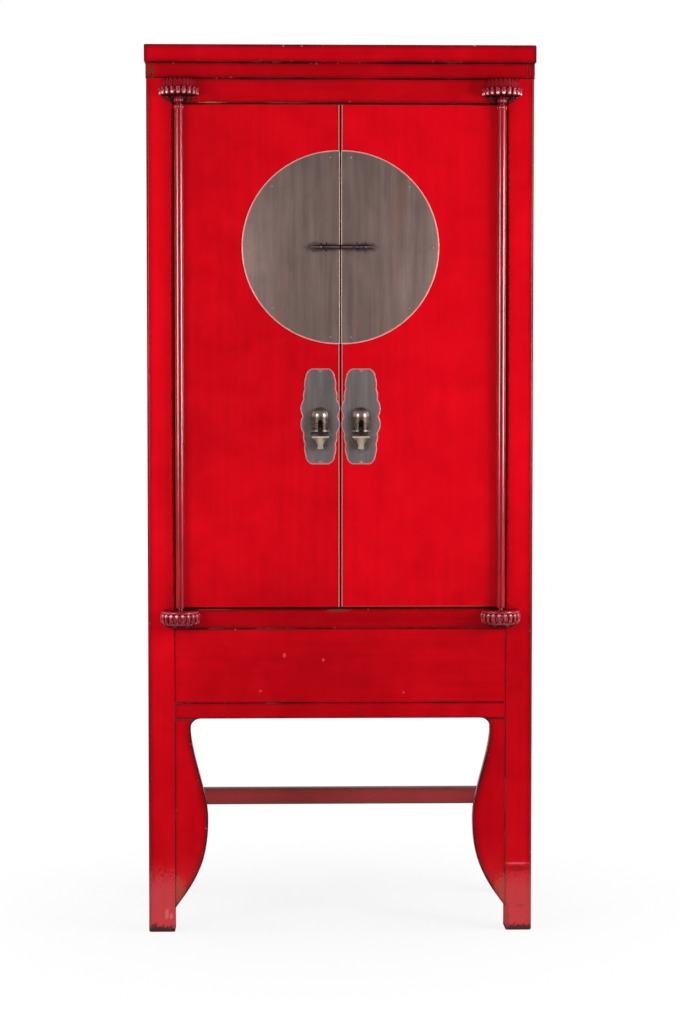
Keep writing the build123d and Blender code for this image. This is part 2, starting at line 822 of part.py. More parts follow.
keeper_end = -(door_inner_x + bar_end_gap)
keeper_knob_start = keeper_end - keeper_length + keeper_knob_length
bolt_bore_depth = bolt_travel + meeting_gap
with BuildPart() as keeper:
    knob = knob_profile(keeper_knob_start, keeper_knob_length, -1)
    section = bar_section([(keeper_end, bar_radius), (keeper_knob_start, bar_radius), *knob])
    revolve(section, axis=bar_axis)
    bar_foot((keeper_end + keeper_knob_start) / 2)
    with Locations((keeper_end - bolt_bore_depth / 2, bar_y, disc_z)):
        Cylinder(
            bolt_radius + bolt_entry_gap,
            bolt_bore_depth,
            rotation=(0, 90, 0),
            mode=Mode.SUBTRACT,
        )
save(keeper, "latch_keeper")

guide_start = door_inner_x + bar_end_gap
guide_end = guide_start + guide_length
with BuildPart() as guide:
    section = bar_section([(guide_start, bar_radius), (guide_end, bar_radius)])
    revolve(section, axis=bar_axis)
    bar_foot((guide_start + guide_end) / 2)
    with Locations(((guide_start + guide_end) / 2, bar_y, disc_z)):
        Cylinder(
            bolt_radius + bolt_running_gap,
            guide_length,
            rotation=(0, 90, 0),
            mode=Mode.SUBTRACT,
        )
save(guide, "latch_guide")

bolt_nose = guide_start + bolt_nose_length
bolt_knob_start = guide_end + bolt_travel + bolt_stop_gap
with BuildPart() as bolt:
    knob = knob_profile(bolt_knob_start, bolt_knob_length, 1)
    section = bar_section([(bolt_nose, bolt_radius), (bolt_knob_start, bolt_radius), *knob])
    revolve(section, axis=bar_axis)
save(bolt, "latch_bolt")


# ------------------------------------------------------------------ lobed plates and pulls
# A quarter of a plate's outline: from the notch at its middle over two lobes to the flat end
half_plate_width = plate_width / 2
half_plate_height = plate_height / 2
notch = (half_plate_width - cusp_depth, 0)
lobe_peak = (half_plate_width, lobe_height / 2)
lobe_end = (half_plate_width - lobe_end_inset, lobe_height)
side_lobe_end = (half_plate_width - side_lobe_end_inset, lobe_height + side_lobe_height)
shoulder = (half_plate_width - shoulder_inset, half_plate_height - shoulder_drop)
flat_end = (plate_flat_half_width, half_plate_height)


def swelling(start, end, swell):
    """The point halfway between two others, moved outwards."""
    return ((start[0] + end[0]) / 2 + swell, (start[1] + end[1]) / 2)


for side_name, side in SIDES.items():
    with BuildPart() as plate:
        with BuildSketch(Plane((side * plate_x, front_y, plate_z), (1, 0, 0), (0, -1, 0))):
            with BuildLine():
                Line((0, 0), notch)
                ThreePointArc(notch, lobe_peak, lobe_end)
                ThreePointArc(lobe_end, swelling(lobe_end, side_lobe_end, side_lobe_swell), side_lobe_end)
                ThreePointArc(side_lobe_end, swelling(side_lobe_end, shoulder, shoulder_swell), shoulder)
                ThreePointArc(shoulder, swelling(shoulder, flat_end, corner_swell), flat_end)
                Line(flat_end, (0, half_plate_height))
                Line((0, half_plate_height), (0, 0))
            make_face()
            mirror(about=Plane.YZ)
            mirror(about=Plane.XZ)
            for end in (-1, 1):
                with Locations((0, end * (plate_height / 2 - plate_nail_inset))):
                    Circle(nail_shank_radius + nail_glue_line, mode=Mode.SUBTRACT)
        extrude(amount=plate_thickness)
    save(plate, f"{side_name}_lobed_plate")

    # Domed casting, round in plan and cut flat at the plate, with an arched slot for the eye
    housing_axis = Axis((side * plate_x, front_y - plate_thickness, 0), (0, 0, 1))
    housing_plane = Plane(
        (side * plate_x, front_y - plate_thickness, housing_bottom), (1, 0, 0), (0, -1, 0)
    )
    housing_shoulder = (housing_shoulder_radius, housing_height - housing_shoulder_drop)
    dome_bend = (
        housing_shoulder[0] * cos(radians(45)),
        housing_shoulder[1] + housing_shoulder_drop * sin(radians(45)),
    )
    with BuildPart() as housing:
        with BuildSketch(housing_plane):
            with BuildLine():
                Polyline(
                    (0, housing_height),
                    (0, 0),
                    (housing_foot_radius, 0),
                    (housing_foot_radius, housing_foot_thickness),
                    (housing_waist_radius, housing_foot_thickness),
                    housing_shoulder,
                )
                ThreePointArc(housing_shoulder, dome_bend, (0, housing_height))
            make_face()
        revolve(axis=housing_axis)
        for ring in range(housing_ring_count):
            ring_z = housing_bottom + housing_foot_thickness + (ring + 1) * housing_ring_spacing
            with Locations((side * plate_x, front_y - plate_thickness, ring_z)):
                Torus(housing_waist_radius, housing_ring_radius)
        split(bisect_by=facing_front(plate_thickness), keep=Keep.TOP)
        with BuildSketch(facing_front(plate_thickness + slot_floor)):
            with Locations((side * plate_x, housing_bottom + (slot_height - slot_width / 2) / 2)):
                Rectangle(slot_width, slot_height - slot_width / 2)
            with Locations((side * plate_x, housing_bottom + slot_height - slot_width / 2)):
                Circle(slot_width / 2)
        extrude(amount=2 * housing_foot_radius, mode=Mode.SUBTRACT)
        with Locations((side * plate_x, pin_y, pin_z)):
            Cylinder(
                pin_radius + pin_glue_line,
                pin_length,
                rotation=(0, 90, 0),
                mode=Mode.SUBTRACT,
            )
    save(housing, f"{side_name}_pull_housing")

    with BuildPart() as pin:
        with BuildSketch(Plane.YZ.offset(side * plate_x - pin_length / 2)):
            with Locations((pin_y, pin_z)):
                Circle(pin_radius)
        extrude(amount=pin_length)
    save(pin, f"{side_name}_pull_pin")

    # Hanging pull: an eye on a short neck, a broad top whose flanks curve in to a waist, and a foot
    pendant_top = pin_z - pendant_neck_drop
    pendant_waist = pendant_top - pendant_waist_drop
    foot_top = pendant_waist - pendant_foot_drop
    foot_bottom = foot_top - pendant_foot_height
    top_corner = (pendant_top_width / 2, pendant_top)
    flank_start = (pendant_top_width / 2, pendant_top - pendant_top_height)
    flank_end = (pendant_waist_width / 2, pendant_waist)
    foot_corner = (pendant_foot_width / 2, foot_top)
    with BuildPart() as pendant:
        with BuildSketch(Plane((side * plate_x, pin_y - pendant_thickness / 2, 0), (1, 0, 0), (0, -1, 0))):
            with BuildLine():
                Line((0, pendant_top), top_corner)
                Line(top_corner, flank_start)
                ThreePointArc(flank_start, swelling(flank_start, flank_end, -pendant_flank_hollow), flank_end)
                Line(flank_end, foot_corner)
                Line(foot_corner, (pendant_foot_width / 2, foot_bottom))
                Line((pendant_foot_width / 2, foot_bottom), (0, foot_bottom))
                Line((0, foot_bottom), (0, pendant_top))
            make_face()
            mirror(about=Plane.YZ)
        extrude(amount=-pendant_thickness)
        chamfer(pendant.faces().sort_by(Axis.Y)[0].edges(), pendant_edge_radius)
        chamfer(pendant.faces().sort_by(Axis.Y)[-1].edges(), pendant_edge_radius)
        with BuildSketch(Plane.YZ.offset(side * plate_x - eye_width / 2)):
            with Locations((pin_y, pin_z)):
                Circle(eye_radius)
            with Locations((pin_y, (pin_z + pendant_top - pendant_edge_radius) / 2)):
                Rectangle(pendant_neck_thickness, pin_z - pendant_top + pendant_edge_radius)
            with Locations((pin_y, pin_z)):
                Circle(pin_radius + pin_running_gap, mode=Mode.SUBTRACT)
        extrude(amount=eye_width)
    save(pendant, f"{side_name}_pull")
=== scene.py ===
"""A red lacquered wedding cabinet with a round brass lock plate, on a pale studio floor."""

from math import cos, inf, pi, radians, sin, sqrt

import bmesh
import bpy
from mathutils import Matrix, Vector
from mathutils.geometry import intersect_point_line


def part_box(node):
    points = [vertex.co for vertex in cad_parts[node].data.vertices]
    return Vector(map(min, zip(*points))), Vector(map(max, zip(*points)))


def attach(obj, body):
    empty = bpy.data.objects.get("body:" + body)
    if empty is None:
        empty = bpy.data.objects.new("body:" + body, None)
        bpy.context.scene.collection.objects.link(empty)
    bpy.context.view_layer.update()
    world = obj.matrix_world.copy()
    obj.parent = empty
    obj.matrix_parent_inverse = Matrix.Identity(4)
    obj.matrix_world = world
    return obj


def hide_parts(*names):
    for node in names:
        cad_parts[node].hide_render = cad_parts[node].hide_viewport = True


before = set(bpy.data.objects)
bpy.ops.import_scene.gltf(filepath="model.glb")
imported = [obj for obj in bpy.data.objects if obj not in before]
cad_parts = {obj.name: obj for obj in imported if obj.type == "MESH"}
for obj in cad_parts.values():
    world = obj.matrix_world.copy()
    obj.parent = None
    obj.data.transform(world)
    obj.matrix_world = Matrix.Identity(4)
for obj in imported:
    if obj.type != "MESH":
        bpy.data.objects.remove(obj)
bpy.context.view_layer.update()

# -------------------- floor, room and lamps
# The cabinet stands on white paper, which ends a step in front of it. The room behind the camera is
# dim, so the doors' gloss stays deep, and soft lamps stand to the left and the right.
case_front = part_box("front_left_post")[0].y
lamp_aim = Vector((0, case_front, 1.15))


def put_in_scene(name, data):
    """A new object that holds this mesh, lamp or camera."""
    thing = bpy.data.objects.new(name, data)
    bpy.context.scene.collection.objects.link(thing)
    return thing


def empty_tree(owner):
    """The shader tree of a material or a world, with nothing in it yet."""
    owner.use_nodes = True
    owner.node_tree.nodes.clear()
    return owner.node_tree


def add_node(tree, kind, inputs=None, **settings):
    """A shader node with its settings, and with a value or a link for each named input."""
    node = tree.nodes.new("ShaderNode" + kind)
    for name, value in settings.items():
        setattr(node, name, value)
    for name, value in (inputs or {}).items():
        if isinstance(value, bpy.types.NodeSocket):
            tree.links.new(value, node.inputs[name])
        else:
            node.inputs[name].default_value = value
    return node


def work_out(tree, operation, *values):
    """One step of arithmetic on values or links."""
    return add_node(tree, "Math", dict(enumerate(values)), operation=operation).outputs[0]


def rise(tree, value, start, end, low=0.0, high=1.0):
    """A soft step from low to high, as the value goes from start to end."""
    limits = {"Value": value, "From Min": start, "From Max": end, "To Min": low, "To Max": high}
    return add_node(tree, "MapRange", limits, interpolation_type="SMOOTHSTEP").outputs["Result"]


def place_in(tree):
    """Where a point lies on the object, in metres."""
    return add_node(tree, "TexCoord").outputs["Object"]


def length(tree, offset):
    """How long an offset is."""
    return add_node(tree, "VectorMath", {0: offset}, operation="LENGTH").outputs["Value"]


def along(tree, place, axis):
    """How far a place or a direction reaches along one axis."""
    return add_node(tree, "SeparateXYZ", {0: place}).outputs[axis]


def soft_lamp(name, angle, distance, height, width, tall, power, in_gloss=True):
    """A soft box at this angle from straight in front, turned to the middle of the cabinet."""
    lamp = bpy.data.lights.new(name, "AREA")
    lamp.shape = "RECTANGLE"
    lamp.size = width
    lamp.size_y = tall
    lamp.energy = power
    holder = put_in_scene(name, lamp)
    swing = radians(angle)
    holder.location = (distance * sin(swing), case_front - distance * cos(swing), height)
    holder.rotation_euler = (lamp_aim - holder.location).to_track_quat("-Z", "Y").to_euler()
    holder.visible_glossy = in_gloss


paper_front = case_front - 0.62
paper_half_width = 6
paper_half_depth = 4
paper_gap = 0.0005
paper = bmesh.new()
bmesh.ops.create_grid(paper, x_segments=1, y_segments=1, size=1)
bmesh.ops.scale(paper, vec=(paper_half_width, paper_half_depth, 1), verts=paper.verts)
bmesh.ops.translate(paper, vec=(0, paper_front + paper_half_depth, -paper_gap), verts=paper.verts)
paper_mesh = bpy.data.meshes.new("studio_paper")
paper.to_mesh(paper_mesh)
paper.free()
put_in_scene("studio_paper", paper_mesh)

# The paper shows a soft shadow round the cabinet, and is pure white to the eye farther off
paper_material = bpy.data.materials.new("white_paper")
tree = empty_tree(paper_material)
clear_of_cabinet = rise(tree, length(tree, place_in(tree)), 0.25, 1.0, 0.83, 1.0)
whiteness = work_out(tree, "MULTIPLY", add_node(tree, "LightPath").outputs["Is Camera Ray"], clear_of_cabinet)
sheet = add_node(tree, "BsdfDiffuse", {"Color": (0.86, 0.86, 0.86, 1)})
glow = add_node(tree, "Emission", {"Strength": 1.0})
seen = add_node(tree, "MixShader", {0: whiteness, 1: sheet.outputs[0], 2: glow.outputs[0]})
add_node(tree, "OutputMaterial", {"Surface": seen.outputs[0]})
paper_mesh.materials.append(paper_material)

# The room is white to the eye. Gloss sees it pale behind the cabinet and dim in front of it
room = bpy.data.worlds.new("studio")
bpy.context.scene.world = room
tree = empty_tree(room)
room.cycles.sampling_method = "NONE"
direction = add_node(tree, "TexCoord").outputs["Generated"]
gloss_sees = rise(tree, along(tree, direction, "Y"), -0.1, 0.5, 0.004, 0.3)
ray = add_node(tree, "LightPath").outputs
lit = add_node(tree, "Mix", {"Factor": ray["Is Glossy Ray"], "A": 0.5, "B": gloss_sees}).outputs["Result"]
shown = add_node(tree, "Mix", {"Factor": ray["Is Camera Ray"], "A": lit, "B": 1.0}).outputs["Result"]
air = add_node(tree, "Background", {"Color": (1, 1, 1, 1), "Strength": shown})
add_node(tree, "OutputWorld", {"Surface": air.outputs[0]})

soft_lamp("left_lamp", -46, distance=3.0, height=1.38, width=1.1, tall=0.95, power=31)
soft_lamp("right_lamp", 58, distance=3.0, height=1.38, width=1.1, tall=0.95, power=53)
soft_lamp("left_side_lamp", -88, distance=2.4, height=1.3, width=1.0, tall=2.2, power=22, in_gloss=False)
soft_lamp("right_side_lamp", 88, distance=2.4, height=1.3, width=1.0, tall=2.2, power=26, in_gloss=False)

# The camera stands a little left of the middle and looks slightly down
camera_distance = 5.4
camera_aside = -0.1527
camera_height = 1.1593
camera_dip = 2.931
camera_turn = -1.641
camera = put_in_scene("camera", bpy.data.cameras.new("camera"))
camera.data.lens = 91.16
camera.data.sensor_width = 36
camera.location = (camera_aside, case_front - camera_distance, camera_height)
camera.rotation_euler = (radians(90 - camera_dip), 0, radians(camera_turn))
bpy.context.scene.camera = camera
bpy.context.scene.view_settings.view_transform = "Standard"

# -------------------- the case's lacquer
# Every outer board has several coats of red lacquer over a dark ground, rubbed down to that ground
# along its edges. The coats are uneven, dirt has settled in the joints, and the red beside every
# edge is darkened, partly by that dirt and partly by painted shade.


def times(tree, first, second):
    """One value times another."""
    return work_out(tree, "MULTIPLY", first, second)


def added(tree, value, share, base):
    """A base with this share of a value added to it."""
    return work_out(tree, "MULTIPLY_ADD", value, share, base)


def vector(tree, operation, first, second):
    """Two places or directions worked out together, axis by axis."""
    return add_node(tree, "VectorMath", {0: first, 1: second}, operation=operation).outputs[0]


def blend(tree, factor, first, second):
    """A colour between two others."""
    return add_node(tree, "Mix", {0: factor, 6: first, 7: second}, data_type="RGBA").outputs[2]


def cloud(tree, place, scale, detail=3.0, roughness=0.5, warp=0.0):
    """Soft random patches of this scale, from 0 to 1. On stretched coordinates they are streaks."""
    inputs = {"Vector": place, "Scale": scale, "Detail": detail, "Roughness": roughness, "Distortion": warp}
    return add_node(tree, "TexNoise", inputs).outputs["Fac"]


def colour(red, green, blue):
    """A linear colour from the usual 0 to 255 values."""
    parts = [value / 255 for value in (red, green, blue)]
    return (*[p / 12.92 if p <= 0.04045 else ((p + 0.055) / 1.055) ** 2.4 for p in parts], 1)


def shared_group(name, inputs):
    """An empty shader group with its input sockets."""
    group = bpy.data.node_groups.new(name, "ShaderNodeTree")
    for socket_name, kind in inputs.items():
        group.interface.new_socket(socket_name, in_out="INPUT", socket_type="NodeSocket" + kind)
    return group, group.nodes.new("NodeGroupInput").outputs


def finish_group(group, results):
    """Gives a group its output sockets: one colour, and masks and other plain values."""
    for name in results:
        kind = "Color" if name == "Color" else "Float"
        group.interface.new_socket(name, in_out="OUTPUT", socket_type="NodeSocket" + kind)
    end = group.nodes.new("NodeGroupOutput")
    for name, value in results.items():
        group.links.new(value, end.inputs[name])
    return group


def build_board_edges():
    """How far a point on a squared board lies from the board's nearest edge."""
    group, given = shared_group("board_edges", {"Low": "Vector", "High": "Vector"})
    place = place_in(group)
    from_low = vector(group, "SUBTRACT", place, given["Low"])
    from_high = vector(group, "SUBTRACT", given["High"], place)
    depth = vector(group, "MINIMUM", from_low, from_high)
    x, y, z = add_node(group, "SeparateXYZ", {0: depth}).outputs
    nearer = work_out(group, "MINIMUM", x, y)
    farther = work_out(group, "MAXIMUM", x, y)
    second = work_out(group, "MAXIMUM", nearer, work_out(group, "MINIMUM", farther, z))
    return finish_group(group, {"Distance": second})


def build_old_lacquer():
    """Uneven red coats, worn through to dark brown at the edges and darkened beside them by dirt and painted
    shade, with a few pale chips.
    """
    inputs = {"Edge Distance": "Float", "Brush": "Vector", "Tone": "Float", "Wear": "Float", "Pale": "Float"}
    group, given = shared_group("old_lacquer", inputs)
    place = place_in(group)
    coats = cloud(group, place, 2.3, 4, 0.6)
    strokes = cloud(group, vector(group, "MULTIPLY", place, given["Brush"]), 1.0, 5, 0.6)
    patches = cloud(group, place, 15, 5, 0.55, 0.4)
    fine = cloud(group, place, 240, 3, 0.6)
    depth = added(group, coats, 1.1, given["Tone"])
    depth = added(group, strokes, 0.42, depth)
    depth = added(group, patches, 0.45, depth)
    darker_legs = rise(group, along(group, place, "Z"), 0.45, 0.85, -0.35, 0.0)
    depth = work_out(group, "ADD", depth, darker_legs)
    red = blend(group, rise(group, depth, 0.1, 1.75), colour(148, 0, 9), colour(233, 0, 22))

    # The worn line wanders: dark ground, a darker margin of dirt and painted shade, and a paler line on the
    # very edge
    wander = work_out(group, "SUBTRACT", cloud(group, place, 70, 4, 0.6), 0.5)
    drift = work_out(group, "SUBTRACT", cloud(group, place, 7, 3, 0.5), 0.5)
    shift = added(group, wander, 0.0035, times(group, drift, 0.0050))
    pale = given["Pale"]
    distance = added(group, shift, added(group, pale, -0.85, 1.0), given["Edge Distance"])
    scaled = work_out(group, "DIVIDE", distance, given["Wear"])
    # Within about a centimetre of an edge the red darkens: dirt, and painted shade beside the joints
    dirt_and_shade_margin = rise(group, scaled, 0.012, 0.001)
    rubbed = rise(group, scaled, 0.0040, 0.0014)
    browned = rise(group, cloud(group, place, 16, 4, 0.6), 0.4, 0.65)
    ground = blend(group, browned, colour(44, 0, 4), colour(84, 12, 12))
    ground = blend(group, pale, ground, colour(128, 0, 8))
    shaded = blend(group, times(group, dirt_and_shade_margin, 0.5), red, colour(100, 0, 6))
    worn = blend(group, times(group, rubbed, 0.9), shaded, ground)
    patchy = rise(group, cloud(group, place, 11, 3, 0.5, 0.5), 0.52, 0.62)
    outer_reach = added(group, pale, 0.0039, 0.0011)
    inner_reach = added(group, pale, 0.0033, 0.0003)
    line = rise(group, scaled, outer_reach, inner_reach)
    line = times(group, line, work_out(group, "MAXIMUM", patchy, pale))
    set_back = times(group, pale, 0.0018)
    line = times(group, line, rise(group, scaled, work_out(group, "SUBTRACT", set_back, 0.0004), set_back))
    strength = added(group, pale, 0.2, 0.5)
    line_colour = blend(group, pale, colour(208, 76, 72), colour(230, 134, 122))
    worn = blend(group, times(group, line, strength), worn, line_colour)

    # Small chips show pale filler, and only near the edges
    near_edge = rise(group, scaled, 0.0060, 0.0015)
    chip = times(group, rise(group, cloud(group, place, 130, 2, 0.4), 0.70, 0.74), near_edge)
    chipped = blend(group, times(group, chip, 0.7), worn, colour(206, 112, 104))

    gloss = added(group, patches, 0.10, 0.10)
    gloss = added(group, rubbed, 0.25, gloss)
    gloss = added(group, fine, 0.05, gloss)
    height = added(group, strokes, 0.5, times(group, patches, 0.35))
    height = added(group, rubbed, -0.6, height)
    height = added(group, chip, -0.8, height)
    height = added(group, fine, 0.06, height)
    return finish_group(group, {"Color": chipped, "Roughness": gloss, "Height": height})


def build_wear_and_light_spot():
    """A ragged patch of this size round a centre. It marks rubbed, chipped and dirty places, and also painted
    shadows, shade and reflections.
    """
    group, given = shared_group("wear_and_light_spot", {"Centre": "Vector", "Size": "Vector", "Ragged": "Float"})
    place = place_in(group)
    offset = vector(group, "SUBTRACT", place, given["Centre"])
    reach = length(group, vector(group, "DIVIDE", offset, given["Size"]))
    torn = work_out(group, "SUBTRACT", cloud(group, place, 170, 4, 0.6), 0.5)
    reach = added(group, torn, given["Ragged"], reach)
    return finish_group(group, {"Mask": rise(group, reach, 1.1, 0.5)})


board_edges = build_board_edges()
old_lacquer = build_old_lacquer()
wear_and_light_spot = build_wear_and_light_spot()
upright_brush = (70, 70, 3)
level_brush = (3, 70, 70)
deep_brush = (70, 3, 70)


def surface(name, settings=None):
    """A new material with its shader, and with what is the same all over it."""
    material = bpy.data.materials.new(name)
    tree = empty_tree(material)
    shader = add_node(tree, "BsdfPrincipled", settings)
    add_node(tree, "OutputMaterial", {"Surface": shader.outputs[0]})
    return material, tree, shader


def relief(tree, shader, height, depth):
    """Gives a surface its bumps, this deep in metres."""
    bump = add_node(tree, "Bump", {"Height": height, "Strength": 1.0, "Distance": depth})
    tree.links.new(bump.outputs[0], shader.inputs["Normal"])


def with_spots(tree, coat, spots):
    """A coat's colour with local spots on it, each a centre, a half size, a colour and a strength."""
    for centre, size, tint, strength in spots:
        inputs = {"Centre": centre, "Size": size, "Ragged": 1.6}
        spot = add_node(tree, "Group", inputs, node_tree=wear_and_light_spot)
        coat = blend(tree, times(tree, spot.outputs["Mask"], strength), coat, tint)
    return coat


def lay_coat(tree, shader, coat, depth, spots=()):
    """Covers a surface with a group's coat: its colour and spots, its gloss and its bumps."""
    tree.links.new(with_spots(tree, coat.outputs["Color"], spots), shader.inputs["Base Color"])
    tree.links.new(coat.outputs["Roughness"], shader.inputs["Roughness"])
    relief(tree, shader, coat.outputs["Height"], depth)


def lacquer(name, brush, low=None, high=None, tone=0.0, wear=1.0, pale=0.0, spots=(), dull_side=0):
    """Red lacquer for a board between two corners, worn along its edges to dark or to pale.

    Without corners it is worn along the sawn outline that the mesh notes. One side of a board, along
    +X or -X, may be left dull."""
    material, tree, shader = surface(name, {"IOR": 1.5, "Specular IOR Level": 0.25})
    if low is None:
        distance = add_node(tree, "Attribute", attribute_name="edge_distance").outputs["Fac"]
    else:
        edges = add_node(tree, "Group", {"Low": low, "High": high}, node_tree=board_edges)
        distance = edges.outputs["Distance"]
    inputs = {"Edge Distance": distance, "Brush": brush, "Tone": tone, "Wear": wear, "Pale": pale}
    coat = add_node(tree, "Group", inputs, node_tree=old_lacquer)
    lay_coat(tree, shader, coat, 0.0004, spots)
    if dull_side:
        facing = along(tree, add_node(tree, "NewGeometry").outputs["Normal"], "X")
        dullness = rise(tree, times(tree, facing, dull_side), 0.3, 0.9, 0.0, 0.9)
        gloss = work_out(tree, "MAXIMUM", coat.outputs["Roughness"], dullness)
        tree.links.new(gloss, shader.inputs["Roughness"])
    return material


touching = 1e-6


def as_piece(shape, name, smooth_angle=35):
    """Puts a finished shape into the scene as a piece."""
    mesh = bpy.data.meshes.new(name)
    shape.to_mesh(mesh)
    shape.free()
    mesh.shade_smooth()
    mesh.set_sharp_from_angle(angle=radians(smooth_angle))
    return put_in_scene(name, mesh)


def fit(piece, finish, node, body):
    """Gives a piece its finish, and lets it stand for its node on the body that carries it."""
    piece.data.materials.append(finish)
    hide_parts(node)
    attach(piece, body)


def merged_copy(node):
    """The shape of a plain solid, with one face for each flat side and its outline kept."""
    shape = bmesh.new()
    shape.from_mesh(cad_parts[node].data)
    bmesh.ops.remove_doubles(shape, verts=shape.verts, dist=touching)
    bmesh.ops.dissolve_limit(shape, angle_limit=radians(0.5), verts=[], edges=shape.edges)
    return shape


def eased_copy(node, width):
    """A copy of a plain solid with its sharp edges rounded over, as scraping and wear leave them.

    Its broad sides are shaded flat, so that their gloss doesn't bend towards the rounded edges."""
    piece = as_piece(merged_copy(node), node + "_eased", smooth_angle=40)
    broad_area = 0.002
    for face in piece.data.polygons:
        face.use_smooth = face.area < broad_area
    easing = piece.modifiers.new("eased", "BEVEL")
    easing.width = width
    easing.segments = 2
    easing.limit_method = "ANGLE"
    easing.angle_limit = radians(30)
    easing.harden_normals = True
    return piece


def lacquered(node, brush, low=None, high=None, body="cabinet", **looks):
    """A board of the case: its eased copy in red lacquer, standing for its node."""
    node_low, node_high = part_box(node)
    finish = lacquer(node + "_lacquer", brush, low or node_low, high or node_high, **looks)
    fit(eased_copy(node, 0.0008), finish, node, body)


# -------------------- posts
# Four square posts carry the case and run on as its legs. They are hardwood, lacquered red, and
# their outer corners are rounded over and rubbed dark.
def front_spot(x, z, half_width, half_height, tint, strength, depth=0.02):
    """A spot on the front face of the case or the doors."""
    return (x, case_front, z), (half_width, depth, half_height), tint, strength


post_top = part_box("front_cornice")[0].z
in_joint = 0.02
grime = colour(44, 24, 24)
for end in ("front", "rear"):
    for side in ("left", "right"):
        low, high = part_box(f"{end}_{side}_post")
        middle = (low.x + high.x) / 2
        # Each leg is painted a paler red low down, a painted reflection of the white floor, and is darker at
        # its very bottom
        spots = [
            ((middle, low.y, 0.046), (0.09, 0.20, 0.090), colour(190, 76, 80), 0.42),
            ((middle, low.y, 0.0), (0.09, 0.20, 0.015), grime, 0.95),
        ]
        if (end, side) == ("front", "left"):
            spots += [
                front_spot(middle + 0.010, 0.038, 0.005, 0.014, colour(186, 120, 104), 0.5),
                front_spot(middle + 0.019, 0.034, 0.004, 0.008, colour(226, 100, 120), 0.5),
                front_spot(middle - 0.015, 0.012, 0.006, 0.010, grime, 0.8),
            ]
        elif (end, side) == ("front", "right"):
            spots += [
                front_spot(middle, 0.30, 0.12, 0.42, colour(120, 0, 8), 0.2, depth=0.20),
                front_spot(middle - 0.004, 0.142, 0.030, 0.0026, colour(232, 96, 116), 0.5),
                front_spot(middle - 0.002, 0.131, 0.032, 0.007, colour(128, 0, 10), 0.6),
                front_spot(middle + 0.004, 0.052, 0.012, 0.004, colour(120, 30, 44), 0.4),
                front_spot(low.x + 0.004, 0.030, 0.006, 0.040, colour(110, 50, 44), 0.5),
            ]
        if end == "front":
            # A dark strip along the post's inner edge is a painted shadow of the pole
            beside_pole = high.x if side == "left" else low.x
            spots.append(front_spot(beside_pole, 1.25, 0.0050, 0.70, colour(66, 0, 4), 0.85, depth=0.01))
        high.z = post_top + in_joint
        if side == "left":
            high.x += in_joint
        else:
            low.x -= in_joint
        lacquered(
            f"{end}_{side}_post",
            upright_brush,
            low,
            high,
            tone=0.15 if side == "right" else 0.22,
            wear=1.25,
            spots=spots,
            dull_side=1 if side == "left" else -1,
        )

# -------------------- top board and cornice
# A mitred frame holds the top panel. Under it runs a lower moulding whose side boards come right to
# the front, so their end grain shows beside the front board.
for member in ("front", "rear", "left", "right"):
    brush = level_brush if member in ("front", "rear") else deep_brush
    lacquered(f"top_{member}_member", brush, tone=-0.1)
lacquered("top_panel", level_brush, wear=0.6)
lacquered("rear_cornice", level_brush)
cornice_low, cornice_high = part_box("side_cornices")
front_low, front_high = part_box("front_cornice")
front_low.x = cornice_low.x
end_grain = (front_low.x, front_low.y, front_low.z + 0.012)
rubbed_end = [(end_grain, (0.024, 0.02, 0.024), colour(96, 48, 28), 0.5)]
lacquered("front_cornice", level_brush, front_low, front_high, tone=-0.35, wear=0.8, spots=rubbed_end)
lacquered("side_cornices", deep_brush, cornice_low, cornice_high, tone=-0.3, wear=0.9, spots=rubbed_end)

# -------------------- front rails, skirt and brackets
# The rails are tenoned into the posts. Their faces are flush with them, and dirt marks the joints
# under the doors. The two brackets fill the corners between the apron and the legs.
post_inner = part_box("front_right_post")[0].x
case_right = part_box("front_right_post")[1].x
sill_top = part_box("door_sill")[1].z
rail_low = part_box("front_top_rail")[0].z
chip = colour(228, 66, 76)
rail_marks = [front_spot(-0.268, rail_low + 0.0005, 0.030, 0.0022, colour(168, 116, 72), 0.7)]
sill_marks = [
    front_spot(-0.005, sill_top - 0.003, 0.028, 0.004, colour(104, 52, 40), 0.85, depth=0.03),
    front_spot(0.1, sill_top - 0.020, 0.22, 0.012, colour(140, 0, 10), 0.35, depth=0.03),
]
skirt_marks = [
    front_spot(-0.117, sill_top - 0.097, 0.004, 0.005, chip, 0.7),
    front_spot(-0.036, sill_top - 0.107, 0.003, 0.004, chip, 0.7),
    front_spot(-0.168, sill_top - 0.172, 0.004, 0.003, chip, 0.5),
    front_spot(0.132, sill_top - 0.176, 0.003, 0.003, chip, 0.5),
]
apron_marks = [front_spot(0.040, sill_top - 0.214, 0.012, 0.003, colour(110, 20, 24), 0.7)]
for node, seam, tone, wear, marks in (
    ("front_top_rail", case_right, -0.2, 0.8, rail_marks),
    ("door_sill", case_right, -0.2, 0.7, sill_marks),
    ("skirt_panel", post_inner, 0.1, 0.45, skirt_marks),
    ("front_apron", post_inner, 0.05, 0.55, apron_marks),
):
    low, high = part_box(node)
    low.x = -seam
    high.x = seam
    lacquered(node, level_brush, low, high, tone=tone, wear=wear, spots=marks)


def front_edges(shape):
    """The edges round a shape's flat front."""
    return [edge for edge in shape.edges if sum(face.normal.y < -0.99 for face in edge.link_faces) == 1]


def worn_outline(shape, joint_x=inf, joint_z=inf):
    """The ends of the front's edges with a weight, which is high in a joint, where nothing wears."""
    near = 0.0015
    hidden_weight = 3.5
    outline = []
    for edge in front_edges(shape):
        ends = [vert.co.copy() for vert in edge.verts]
        in_side_joint = all(abs(end.x - joint_x) < near for end in ends)
        in_top_joint = all(abs(end.z - joint_z) < near for end in ends)
        outline.append((*ends, hidden_weight if in_side_joint or in_top_joint else 1.0))
    return outline


